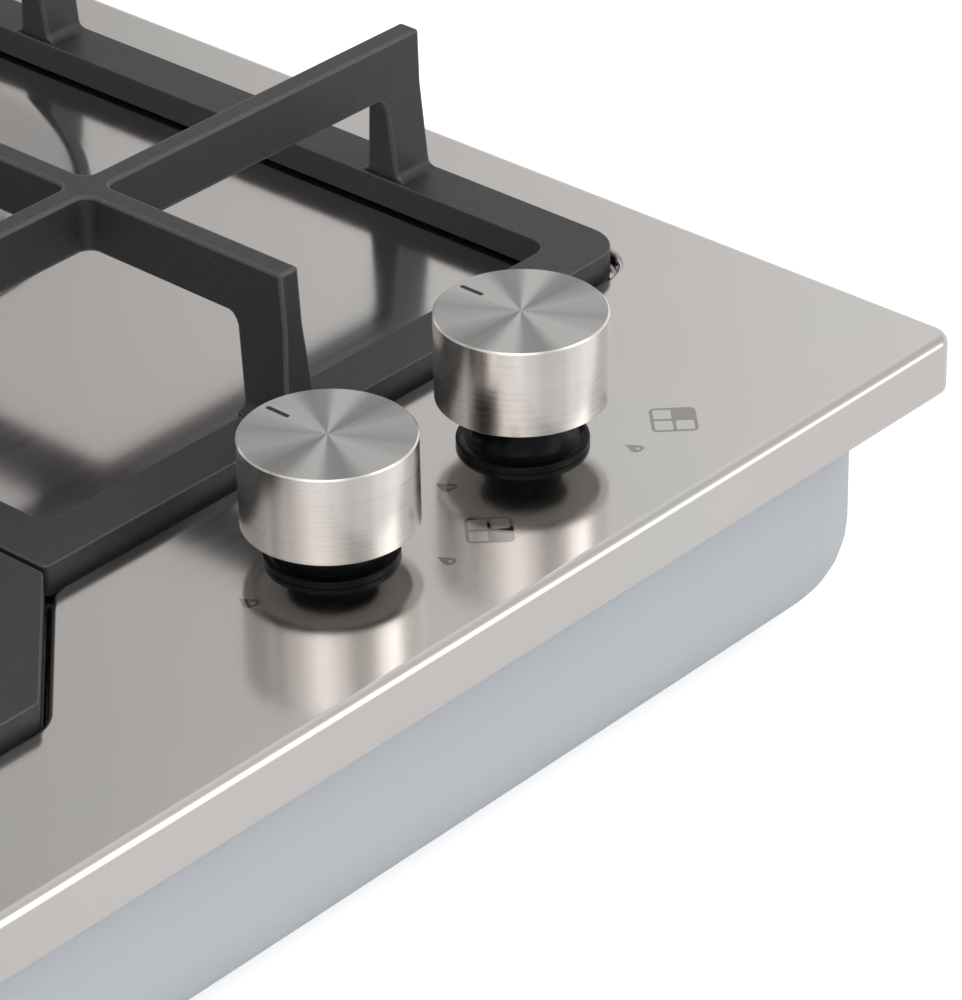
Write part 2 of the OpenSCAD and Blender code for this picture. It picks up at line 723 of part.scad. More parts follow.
module knob(i) {
    r = knob_dia / 2;
    color(knob_colour) translate([KNOB[i][0], KNOB[i][1], knob_base(i)]) difference() {
        rotate_extrude($fn = 128) polygon([[0, 0], [r - knob_chamfer, 0], [r, knob_chamfer],
            [r, knob_h - knob_chamfer], [r - knob_chamfer, knob_h], [0, knob_h]]);
        translate([0, 0, -over]) cylinder(r = r - knob_wall, h = knob_h - knob_wall + over, $fn = 128);
        translate([0, r - pointer_gap - pointer_l / 2, knob_h - pointer_depth])
            linear_extrude(pointer_depth + over)
                rounded_rect(pointer_w, pointer_l, pointer_corner_r, $fn = 24);
    }
}

module knob_seals() {
    bore = stem_r + seat_gap;
    sweep_r = seal_r - 2 * seal_rim_w - seal_neck_r;
    sweep_h = seal_flare_h - seal_web_h;
    color(rubber_colour) for (k = KNOB) translate([k[0], k[1], deck_top]) rotate_extrude()
        polygon(concat([[bore, 0], [seal_r, 0], [seal_r, seal_rim_h], [seal_r - seal_rim_w, seal_rim_h],
            [seal_r - 2 * seal_rim_w, seal_web_h]],
            [for (i = [1 : fillet_steps]) let (a = 90 * i / fillet_steps)
                [seal_neck_r + sweep_r * (1 - sin(a)), seal_web_h + sweep_h * (1 - cos(a))]],
            [[seal_neck_r - seal_top_inset, seal_h], [bore, seal_h]]));
}

module ignition_switches() {
    color(plastic_colour) for (k = KNOB) translate([k[0], k[1], tap_top]) difference() {
        linear_extrude(switch_t) rounded_rect(switch_w, switch_d, switch_d / 5);
        translate([0, 0, -over]) cylinder(r = stem_r + seat_gap, h = switch_t + 2 * over, $fn = 32);
    }
}

// Burners
module burner_cup(i) {
    r = spreader_r[i];
    boss = cup_body_r[i] + inlet_boss_l;
    color(alloy_colour) translate([BURNER[i][0], BURNER[i][1], 0]) difference() {
        union() {
            translate([0, 0, cup_floor]) cylinder(r = cup_body_r[i], h = cup_depth - deck_t);
            translate([0, 0, dish_floor - deck_t - flange_t]) cylinder(r = r + flange_extra, h = flange_t);
            translate([0, 0, dish_floor - deck_t - flange_t])
                cylinder(r = r - collar_inset, h = flange_t + deck_t + collar_h);
            along_y([0, -boss, cup_inlet_z], tube_r + inlet_boss_wall, boss);
        }
        translate([0, 0, dish_floor - chamber_depth])
            cylinder(r = r - collar_inset - collar_wall, h = chamber_depth + collar_h + over);
        translate([0, 0, cup_floor + throat_rise]) cylinder(r = throat_r, h = cup_depth);
        translate([0, 0, cup_floor + throat_rise - injector_l])
            cylinder(r = injector_r + fit_gap, h = cup_depth, $fn = 32);
        translate([0, 0, cup_inlet_z]) cylinder(r = passage_r, h = throat_rise, $fn = 24);
        along_y([0, -boss - over, cup_inlet_z], tube_r + fit_gap, tube_seat + over);
        along_y([0, -boss, cup_inlet_z], passage_r, boss);
        for (hole = [[electrode_angle, electrode_r + fit_gap],
                [thermocouple_angle, thermocouple_r + fit_gap],
                [-cup_screw_angle, cup_screw_r], [cup_screw_angle, cup_screw_r]])
            translate([(r + post_offset) * cos(hole[0]), (r + post_offset) * sin(hole[0]), cup_floor])
                cylinder(r = hole[1], h = cup_depth, $fn = 32);
    }
}

module injectors() {
    color(brass_colour) for (b = BURNER) translate([b[0], b[1], cup_floor + throat_rise]) difference() {
        union() {
            translate([0, 0, -injector_l]) cylinder(r = injector_r, h = injector_l, $fn = 32);
            cylinder(r = injector_head_r, h = injector_head_h, $fn = 6);
        }
        translate([0, 0, -injector_l - over]) cylinder(r = passage_r, h = injector_l + over, $fn = 24);
        cylinder(r = injector_bore_r, h = injector_head_h + over, $fn = 16);
    }
}

module spark_electrodes() {
    color(plastic_colour) for (i = [FRONT : LEFT]) translate(beside(i, electrode_angle, post_offset)) {
        translate([0, 0, dish_floor - electrode_under])
            cylinder(r = electrode_r, h = electrode_under + electrode_rise, $fn = 32);
        translate([0, 0, dish_floor])
            cylinder(r = electrode_pin_r, h = electrode_rise + electrode_pin_rise, $fn = 24);
    }
}

module thermocouples() {
    color(alloy_colour) for (i = [FRONT : LEFT]) translate(beside(i, thermocouple_angle, post_offset))
        translate([0, 0, dish_floor - electrode_under])
            cylinder(r = thermocouple_r, h = electrode_under + thermocouple_rise, $fn = 32);
}

spreader_z = dish_floor + collar_h;
cap_z = spreader_z + spreader_h;

module flame_spreader(i) {
    r = spreader_r[i];
    skirt_r = r - collar_inset - collar_wall - seat_gap;
    ports = floor(360 * r / (port_pitch * 180 / PI));
    color(alloy_colour) translate([BURNER[i][0], BURNER[i][1], spreader_z]) difference() {
        union() {
            cylinder(r = r, h = spreader_h, $fn = 96);
            translate([0, 0, -skirt_h]) cylinder(r = skirt_r, h = skirt_h + over);
        }
        translate([0, 0, -skirt_h - over])
            cylinder(r = skirt_r - skirt_wall, h = skirt_h + spreader_h + 2 * over);
        for (k = [0 : ports - 1]) rotate([0, 0, (k + 0.5) * 360 / ports])
            translate([skirt_r - skirt_wall - over, -port_w / 2, port_sill]) cube([r, port_w, port_h]);
    }
}

module burner_cap(i) {
    r = spreader_r[i] + cap_overhang;
    spigot_r = spreader_r[i] - collar_inset - collar_wall - 2 * seat_gap - skirt_wall;
    color(enamel_colour) translate([BURNER[i][0], BURNER[i][1], cap_z]) {
        rotate_extrude($fn = 96) polygon(concat([[0, 0], [r - cap_edge / 2, 0]],
            arc(r - cap_edge, cap_t - cap_crown - cap_edge, cap_edge, 0, 75, fillet_steps), [[0, cap_t]]));
        translate([0, 0, -cap_spigot_h]) cylinder(r = spigot_r, h = cap_spigot_h + cap_t / 2);
    }
}

// Route of a feed tube from the tap's outlet to the burner cup's inlet
function tube_start(i) = [KNOB[i][0], KNOB[i][1] + tap_outlet_l - tube_seat + fit_gap, tap_outlet_z];
function tube_end(i) = let (reach = cup_body_r[i] + inlet_boss_l - tube_seat + fit_gap)
    [BURNER[i][0], BURNER[i][1] - reach, cup_inlet_z];
tube_bend = 12;
tube_lead = 18;
side_lead = 48;
rear_lane = -80;
rear_turn = 40;
module feed_tube(i) {
    s = tube_start(i);
    e = tube_end(i);
    way = i == REAR ?
            [[s[0], s[1] + 2 * tube_lead, s[2]],
                [rear_lane, s[1] + 2 * tube_lead - s[0] + rear_lane, e[2]],
                [rear_lane, e[1] - 2 * rear_turn, e[2]], [e[0], e[1] - 2 * tube_lead, e[2]]] :
        i == FRONT ?
            [[s[0], s[1] + tube_lead, s[2]], [e[0], e[1] - tube_lead, e[2]]] :
            [[s[0], s[1] + side_lead, s[2]], [e[0], s[1] + 2 * side_lead, e[2]]];
    color(alloy_colour) pipe(concat([s], way, [e]), tube_r, tube_r - tube_wall, tube_bend);
}

// Grates. A bar runs along +X from a to b at y = 0, with a leg at a, and at b a second leg or a bare tip.
function near_end(a, leg) = let (foot = a + leg[0], top = foot + leg[1], in_foot = foot + leg[2],
        in_top = in_foot + leg[1])
    [[[foot, member_bottom], [top, bar_z]],
        concat(arc(in_top + leg_corner_r, bar_under - leg_corner_r, leg_corner_r, 90, 180, fillet_steps),
            [[in_foot, member_top], [in_foot, member_bottom]])];

function flipped(points, b) = [for (i = [len(points) - 1 : -1 : 0]) [b - points[i][0], points[i][1]]];

function bar_section(a, b, leg, tip) =
    let (near = near_end(a, leg), far = near_end(0, leg))
    concat(near[0],
        tip ? [[b, bar_z], [b, bar_under + tip_chamfer], [b - tip_chamfer, bar_under]] :
            concat(flipped(far[0], b), flipped(far[1], b)),
        near[1]);

// Across its length a bar is upright, its legs widen downwards and run out on the member in a fillet
function half_cross(s) =
    let (half = bar_w / 2, foot = half + leg_flare)
    concat([[s * half, bar_z], [s * half, bar_under]],
        [for (i = [0 : fillet_steps]) let (q = 90 * i / fillet_steps)
            [s * (foot + leg_root_r * (1 - cos(q))), member_top + leg_root_r * (1 - sin(q))]],
        [[s * (foot + leg_root_r), member_bottom]]);

module bar(a, b, leg, tip) {
    left_side = half_cross(-1);
    intersection() {
        rotate([90, 0, 0]) linear_extrude(bar_w + 2 * (leg_flare + leg_root_r), center = true)
            polygon(bar_section(a, b, leg, tip));
        translate([a, 0, 0]) rotate([90, 0, 90]) linear_extrude(b - a)
            polygon(concat(half_cross(1), [for (i = [len(left_side) - 1 : -1 : 0]) left_side[i]]));
    }
}

module bar_x(a, b, y, leg, tip = false) {
    translate([0, y, 0]) bar(a, b, leg, tip);
}

module bar_y(a, b, x, leg, tip = false) {
    translate([x, 0, 0]) rotate([0, 0, 90]) bar(a, b, leg, tip);
}

module crossing(x, y) {
    side = bar_w + 2 * cross_fillet;
    translate([x, y, bar_under]) linear_extrude(bar_h) difference() {
        square(side, center = true);
        for (sx = [-1, 1], sy = [-1, 1]) translate([sx * side / 2, sy * side / 2])
            circle(cross_fillet, $fn = 32);
    }
}

side_grate_feet = [for (x = [side_grate_in + member_w / 2, side_grate_out - member_w / 2],
    y = [-side_grate_y + 2 * member_w, side_grate_y - 2 * member_w]) [x, y]];
centre_grate_feet = [for (x = [member_w / 2 - centre_grate_x, centre_grate_x - member_w / 2],
    y = [-recess_y + 2 * member_w, recess_y - 2 * member_w]) [x, y]];

module foot_holes(places) {
    for (p = places) translate([p[0], p[1], member_bottom - over])
        cylinder(r = foot_pin_r + fit_gap, h = foot_pin_h + over + seat_gap, $fn = 24);
}

module feet(places) {
    color(rubber_colour) for (p = places) translate([p[0], p[1], recess_floor]) {
        cylinder(r = foot_r, h = foot_t, $fn = 32);
        cylinder(r = foot_pin_r, h = foot_t + foot_pin_h, $fn = 24);
    }
}

// A side grate's corners are sharper where it stands against the centre grate
module side_plan() {
    for (end = [[-1, neighbour_corner_r], [1, grate_corner_r]]) translate([end[0] * grate_w / 8, 0])
        rounded_rect(grate_w * 3 / 4, 2 * side_grate_y, end[1]);
}

module side_grate() {
    mid_x = (side_grate_in + side_grate_out) / 2;
    color(iron_colour) difference() {
        union() {
            translate([mid_x, 0, member_bottom]) linear_extrude(member_h) difference() {
                side_plan();
                rounded_rect(grate_w - 2 * member_w, 2 * (side_grate_y - member_w), inner_corner_r);
            }
            for (s = [-1, 1]) {
                bar_x(side_grate_in, side_grate_out, s * burner_pitch / 2, SIDE_LEG);
                crossing(burner_x, s * burner_pitch / 2);
            }
            bar_x(side_grate_in, burner_x - finger_gap_r, 0, SIDE_LEG, true);
            translate([burner_x, 0, 0]) mirror([1, 0, 0])
                bar_x(burner_x - side_grate_out, -finger_gap_r, 0, SIDE_LEG, true);
            bar_y(-side_grate_y, -finger_gap_r, burner_x, END_LEG, true);
            mirror([0, 1, 0]) bar_y(-side_grate_y, -finger_gap_r, burner_x, END_LEG, true);
        }
        foot_holes(side_grate_feet);
    }
}

module centre_plan(inset, r) {
    x = centre_grate_x - inset;
    y = centre_grate_y - inset;
    slant = centre_slant - inset * sqrt(2);
    offset(r = r) offset(delta = -r)
        polygon([[x, slant - x], [slant - y, y], [y - slant, y], [-x, slant - x],
            [-x, x - slant], [y - slant, -y], [slant - y, -y], [x, x - slant]]);
}

module centre_grate() {
    color(iron_colour) difference() {
        union() {
            translate([0, 0, member_bottom]) linear_extrude(member_h) difference() {
                centre_plan(0, centre_corner_r);
                centre_plan(member_w, inner_corner_r);
            }
            bar_x(-centre_grate_x, centre_grate_x, 0, SIDE_LEG);
            crossing(0, 0);
            for (s = [0, 1]) mirror([0, s, 0]) {
                bar_y(-centre_grate_y, -burner_pitch / 2 - finger_gap_r, 0, END_LEG, true);
                for (t = [0, 1]) mirror([t, 0, 0])
                    bar_x(-centre_grate_x, -finger_gap_r, burner_pitch / 2, SIDE_LEG, true);
            }
            inner_finger();
        }
        foot_holes(centre_grate_feet);
    }
}

// The bar between the two centre burners, through the middle crossing
module inner_finger() {
    reach = burner_pitch / 2 - finger_gap_r;
    rotate([90, 0, 90]) linear_extrude(bar_w, center = true)
        polygon([[-reach, bar_z], [reach, bar_z], [reach, bar_under + tip_chamfer],
            [reach - tip_chamfer, bar_under], [tip_chamfer - reach, bar_under],
            [-reach, bar_under + tip_chamfer]]);
}

module left_grate() {
    mirror([1, 0, 0]) side_grate();
}

deck();
pan();
worktop_gasket();
pan_screws();
cup_screws();
gas_rail();
rail_brackets();
supply_pipe();
gas_inlet();
inlet_nut();
ignition_module();
terminal_block();
cable_gland();
injectors();
spark_electrodes();
thermocouples();
knob_seals();
ignition_switches();
tap_body(FRONT);  // tap_body_front
tap_body(RIGHT);  // tap_body_right
tap_body(REAR);  // tap_body_rear
tap_body(LEFT);  // tap_body_left
burner_cup(FRONT);  // burner_cup_front
burner_cup(RIGHT);  // burner_cup_right
burner_cup(REAR);  // burner_cup_rear
burner_cup(LEFT);  // burner_cup_left
feed_tube(FRONT);  // feed_tube_front
feed_tube(RIGHT);  // feed_tube_right
feed_tube(REAR);  // feed_tube_rear
feed_tube(LEFT);  // feed_tube_left
flame_spreader(FRONT);  // flame_spreader_front
flame_spreader(RIGHT);  // flame_spreader_right
flame_spreader(REAR);  // flame_spreader_rear
flame_spreader(LEFT);  // flame_spreader_left
burner_cap(FRONT);  // burner_cap_front
burner_cap(RIGHT);  // burner_cap_right
burner_cap(REAR);  // burner_cap_rear
burner_cap(LEFT);  // burner_cap_left
side_grate();  // grate_right
centre_grate();  // grate_centre
left_grate();  // grate_left
feet(side_grate_feet);  // grate_feet_right
feet(centre_grate_feet);  // grate_feet_centre
mirror([1, 0, 0]) feet(side_grate_feet);  // grate_feet_left
tap_cone(FRONT);  // tap_cone_front
tap_cone(RIGHT);  // tap_cone_right
tap_cone(REAR);  // tap_cone_rear
tap_cone(LEFT);  // tap_cone_left
stem(FRONT);  // stem_front
stem(RIGHT);  // stem_right
stem(REAR);  // stem_rear
stem(LEFT);  // stem_left
knob_core(FRONT);  // knob_core_front
knob_core(RIGHT);  // knob_core_right
knob_core(REAR);  // knob_core_rear
knob_core(LEFT);  // knob_core_left
knob(FRONT);  // knob_front
knob(RIGHT);  // knob_right
knob(REAR);  // knob_rear
knob(LEFT);  // knob_left
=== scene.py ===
"""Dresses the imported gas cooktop: finished surfaces, procedural materials, stage and camera.

Everything is made in the CAD's own frame."""
import json
import math

import bmesh
import bpy
import numpy as np
from bpy.props import FloatProperty, FloatVectorProperty, IntProperty, PointerProperty
from mathutils import Matrix, Vector
from mathutils.geometry import tessellate_polygon


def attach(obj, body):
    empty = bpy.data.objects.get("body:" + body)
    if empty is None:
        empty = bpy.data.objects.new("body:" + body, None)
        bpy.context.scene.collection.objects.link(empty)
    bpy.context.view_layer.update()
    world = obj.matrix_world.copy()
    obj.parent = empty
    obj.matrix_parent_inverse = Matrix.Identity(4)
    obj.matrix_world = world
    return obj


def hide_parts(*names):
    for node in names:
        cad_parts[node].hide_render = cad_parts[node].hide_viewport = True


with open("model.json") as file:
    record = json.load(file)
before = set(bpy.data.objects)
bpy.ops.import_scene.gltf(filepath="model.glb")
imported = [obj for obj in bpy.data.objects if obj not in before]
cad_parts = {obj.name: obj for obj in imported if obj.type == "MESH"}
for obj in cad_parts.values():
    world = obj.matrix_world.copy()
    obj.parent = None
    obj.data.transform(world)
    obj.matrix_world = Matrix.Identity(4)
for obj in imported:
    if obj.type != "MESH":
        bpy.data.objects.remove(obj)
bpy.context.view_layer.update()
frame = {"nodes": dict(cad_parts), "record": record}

bl_info = {
    "name": "Gas cooktop",
    "version": (1, 0, 0),
    "blender": (4, 5, 0),
    "location": "3D View > Sidebar > Cooktop",
    "description": "Finished surfaces and materials for a built-in gas cooktop",
    "category": "Object",
}

MM = 0.001
PLACES = ("front", "right", "rear", "left")
GRATES = ("right", "centre", "left")

# Round each burner, in degrees: the electrode, the probe and two screws, with the radii of their holes
ELECTRODE, PROBE = 40, 140
POST_ANGLES = (ELECTRODE, PROBE, -90, 90)
POST_HOLES = (3.3, 2.3, 2.1, 2.1)
# How far inside a spreader's rim its hole in the deck and its cap's step lie
HOLE_INSET, STEP_INSET = 2.7, 9
# The tabs' half width, and their places along the deck's sides and along its rear
TAB_HALF_WIDTH, TAB_SIDE_AT, TAB_REAR_AT = 11.0, 130, 120
# In metres, how near the points of a made surface are joined, and those of a CAD node's triangles
NEAR, CAD_NEAR = 1e-7, 2e-6


# Sizes and colours that a user may change

def length(name, description, millimetres):
    """A length property that is given in millimetres and kept in metres."""
    return FloatProperty(name=name, description=description, default=millimetres * MM, unit="LENGTH",
                         precision=5)


def colour(name, description, red, green, blue):
    """A colour property."""
    return FloatVectorProperty(name=name, description=description, default=(red, green, blue),
                               subtype="COLOR", min=0, max=1)


class CooktopDeck(bpy.types.PropertyGroup):
    """Sizes of the pressed deck."""

    width: length("Width", "Width of the deck", 590)
    depth: length("Depth", "Depth of the deck", 510)
    top: length("Top", "Height of the deck above the pan's underside", 67)
    thickness: length("Thickness", "Thickness of the steel", 0.8)
    corner: length("Corner", "Plan radius of the corners", 5.5)
    roll: length("Roll", "Radius between the deck and its lip", 2.5)
    lip: length("Lip", "Height of the lip", 13.8)
    hem: length("Hem", "Radius at the lip's lower edge", 1.0)
    flange: length("Flange", "Width turned in under the lip, with the lip's own thickness", 6.8)
    flange_corner: length("Flange corner", "Plan radius inside the flange", 26)
    recess_drop: length("Recess drop", "Depth of the recess", 3)
    recess_corner: length("Recess corner", "Plan radius of the recess's corners", 10)
    recess_fillet: length("Recess fillet", "Radius at the top and foot of the recess's wall", 1.2)
    recess_x: length("Recess half width", "Half width of the recess", 274.5)
    recess_y: length("Recess half depth", "Half depth of the recess's side sections", 180.5)
    recess_centre_y: length("Recess centre", "Half depth of the recess's centre section", 215)
    recess_slant: length("Recess slant", "Sum of x and y along the slanted corners", 272.5)
    dish_drop: length("Dish drop", "Depth of each dish below the recess", 4)
    dish_floor: length("Dish floor", "Radius of each dish's flat floor", 59)
    dish_rim: length("Dish rim", "Radius of each dish's rim", 80)
    stem_hole: length("Spindle hole", "Radius of each spindle's hole", 5)
    tab_drop: length("Tab drop", "Height of the tabs that take the pan's screws", 13)
    tab_side: length("Tab side", "Distance of the side tabs' faces from the middle", 285.15)
    tab_rear: length("Tab rear", "Distance of the rear tabs' faces from the middle", 245.15)


class CooktopBurners(bpy.types.PropertyGroup):
    """Sizes of the burners."""

    side: length("Side", "Distance of the side burners from the middle", 169)
    front: length("Front", "Distance of the front and rear burners from the middle", 115)
    spreaders: FloatVectorProperty(
        name="Spreaders", description="Radii of the flame spreaders: front, right, rear, left", size=4,
        default=(0.019, 0.030, 0.030, 0.045), unit="LENGTH")
    cap_bottom: length("Cap bottom", "Height of the caps' undersides", 76)
    cap_thickness: length("Cap thickness", "Thickness of a cap", 6)
    cap_overhang: length("Cap overhang", "Overhang of a cap beyond its spreader", 3)
    post: length("Post", "Distance of electrodes and probes from the spreader's rim", 6.5)


class CooktopGrates(bpy.types.PropertyGroup):
    """How the cast grates are finished."""

    rounding: length("Rounding", "Width of the rounded edges of bars and legs", 0.8)
    frame_rounding: length("Frame rounding", "Width of the rounded edges of the frame", 0.3)
    frame_top: length("Frame top", "Height of the frame's upper face, with a little over", 72.5)
    steps: IntProperty(name="Steps", description="Chords across a rounded edge", default=3, min=1)
    foot: length("Foot", "Height up to which the underside stays as it is in CAD", 65.5)


class CooktopKnobs(bpy.types.PropertyGroup):
    """Sizes of the knobs and their seals."""

    y: length("Front", "Place of the knobs' axes from the middle, towards the front", -213.5)
    places: FloatVectorProperty(
        name="Places", description="Places of the axes along X: front, right, rear, left", size=4,
        default=(0.1392, 0.1981, -0.1392, -0.1981), unit="LENGTH")
    rises: FloatVectorProperty(
        name="Rises", description="Heights of the knobs above the deck: front, right, rear, left", size=4,
        default=(0.008, 0.0113, 0.0113, 0.0113), unit="LENGTH")
    radius: length("Radius", "Radius of a knob", 18.5)
    height: length("Height", "Height of a knob", 20)
    wall: length("Wall", "Thickness of a knob's wall", 2.2)
    chamfer: length("Chamfer", "Width of a knob's chamfer", 0.35)
    sunk: length("Sunk", "Depth of the moulded infill above a knob's rim", 0.9)
    well: length("Well", "Radius of the infill's well round the seal", 9.2)
    pointer_width: length("Pointer width", "Width of the pointer", 1.1)
    pointer_length: length("Pointer length", "Length of the pointer", 6.2)
    pointer_gap: length("Pointer gap", "Distance from the pointer to the knob's edge", 1.7)
    seal_radius: length("Seal radius", "Radius of the seal's rim", 14.2)
    seal_neck: length("Seal neck", "Radius of the seal's neck", 8.3)
    seal_height: length("Seal height", "Height of the seal", 13.8)


class CooktopMarks(bpy.types.PropertyGroup):
    """Sizes of the marks beside each knob."""

    side: length("Side", "Side of the square that stands for the four burners", 10)
    stroke: length("Stroke", "Width of a line", 0.75)
    rise: length("Rise", "Height of the marks above the steel", 0.02)


class CooktopFinishes(bpy.types.PropertyGroup):
    """Colours of the finishes."""

    deck: colour("Deck", "Brushed steel of the deck", 0.70, 0.688, 0.674)
    marks: colour("Marks", "Polished print of the marks", 0.38, 0.375, 0.37)
    pan: colour("Pan", "Paint of the pan", 0.54, 0.575, 0.61)
    grates: colour("Grates", "Enamelled cast iron", 0.030, 0.030, 0.031)
    # Painted highlight: the grates' rounded edges get this paler enamel colour for the light that they
    # catch
    grate_edges: colour("Grate edges", "Thin enamel on the grates' rounded edges", 0.075, 0.075, 0.077)
    knob_side: colour("Knob side", "Brushed side of a knob", 1.0, 0.965, 0.925)
    knob_top: colour("Knob top", "Spun top of a knob", 1.0, 0.975, 0.945)
    knob_lining: colour("Knob lining", "Moulded inside of a knob", 0.72, 0.71, 0.70)
    pointer: colour("Pointer", "Ink of the pointer", 0.010, 0.010, 0.010)
    rubber: colour("Rubber", "Seals, feet and the cable's gland", 0.004, 0.004, 0.0042)
    foam: colour("Foam", "Strip under the lip", 0.16, 0.16, 0.16)
    cap: colour("Caps", "Enamel of the burner caps", 0.018, 0.018, 0.019)
    burner: colour("Burners", "Cast alloy of cups and spreaders", 0.55, 0.55, 0.55)
    brass: colour("Brass", "Inlet, nut and injectors", 0.72, 0.50, 0.20)
    zinc: colour("Zinc", "Screws and plated steel", 0.62, 0.62, 0.60)


class CooktopStage(bpy.types.PropertyGroup):
    """Floor, light and camera."""

    floor: FloatProperty(name="Floor", description="Half width of the floor", default=6.0, unit="LENGTH")
    lens: FloatProperty(name="Lens", description="Focal length", default=178.0, unit="CAMERA")
    place: FloatVectorProperty(
        name="Camera", description="Place of the camera", default=(-0.4741, -0.8116, 0.5929), unit="LENGTH")


# Surfaces, in millimetres

def turned(vectors, angles):
    """Plane vectors turned by angles in radians: (x cos a - y sin a, x sin a + y cos a)."""
    c, s = np.cos(angles), np.sin(angles)
    x, y = vectors[..., 0], vectors[..., 1]
    return np.stack([x * c - y * s, x * s + y * c], -1)


def outline(corners, inset, radii, steps):
    """Closed outline of an anticlockwise polygon, moved inwards by inset and rounded at its corners.

    With the inward normals m and n of the edges at a corner c, the moved corner is
    c + inset (m + n) / (1 + m.n). The arc's centre lies as far again for the radius, and its points are
    centre - r (m turned by t times the corner's angle), t from 0 to 1. A radius grows with the inset at a
    hollow corner and shrinks at an outer one."""
    p = np.asarray(corners, float)
    along = np.roll(p, -1, 0) - p
    along /= np.linalg.norm(along, axis=1, keepdims=True)
    n = np.stack([-along[:, 1], along[:, 0]], -1)
    m = np.roll(n, 1, 0)
    dot, cross = (m * n).sum(1), m[:, 0] * n[:, 1] - m[:, 1] * n[:, 0]
    sign = np.sign(cross)
    bisector = (m + n) / (1 + dot)[:, None]
    r = np.broadcast_to(radii, len(p)) - sign * inset
    centre = p + bisector * (inset + sign * r)[:, None]
    t = np.linspace(0, 1, steps + 1)
    arms = turned(m[:, None, :], t[None, :] * np.arctan2(cross, dot)[:, None])
    return (centre[:, None, :] - (sign * r)[:, None, None] * arms).reshape(-1, 2)


def softened(corners, radii, steps=4):
    """Open profile through corners, each inner one rounded with steps chords, as in outline."""
    p = np.asarray(corners, float)
    out = [p[:1]]
    for i in range(1, len(p) - 1):
        if radii[i] == 0:
            out.append(p[i:i + 1])
            continue
        u, v = p[i] - p[i - 1], p[i + 1] - p[i]
        u, v = u / np.linalg.norm(u), v / np.linalg.norm(v)
        cross, dot = u[0] * v[1] - u[1] * v[0], u @ v
        s = np.sign(cross)
        m, n = s * np.array([-u[1], u[0]]), s * np.array([-v[1], v[0]])
        centre = p[i] + radii[i] * (m + n) / (1 + m @ n)
        t = np.linspace(0, 1, steps + 1)
        out.append(centre - radii[i] * turned(np.tile(m, (steps + 1, 1)), t * math.atan2(cross, dot)))
    out.append(p[-1:])
    return np.concatenate(out)


def circle(x, y, r, sides):
    """Anticlockwise circle: (x + r cos a, y + r sin a), a from 0 to 2 pi."""
    a = np.arange(sides) * 2 * np.pi / sides
    return np.stack([x + r * np.cos(a), y + r * np.sin(a)], -1)


def beside(x, y, reach, degrees):
    """Place at a distance from (x, y): (x + reach cos a, y + reach sin a)."""
    a = math.radians(degrees)
    return x + reach * math.cos(a), y + reach * math.sin(a)


def arc(centre, radius, a, b, steps):
    """Profile arc: centre + radius (cos t, sin t), t from a to b in degrees."""
    t = np.radians(np.linspace(a, b, steps + 1))
    return np.stack([centre[0] + radius * np.cos(t), centre[1] + radius * np.sin(t)], -1)


def rectangle(w, d):
    """Corners of a centred rectangle, anticlockwise."""
    return [(w / 2, d / 2), (-w / 2, d / 2), (-w / 2, -d / 2), (w / 2, -d / 2)]


def raised(points, z):
    """Plane points lifted to height z."""
    return np.column_stack([points, np.full(len(points), z)])


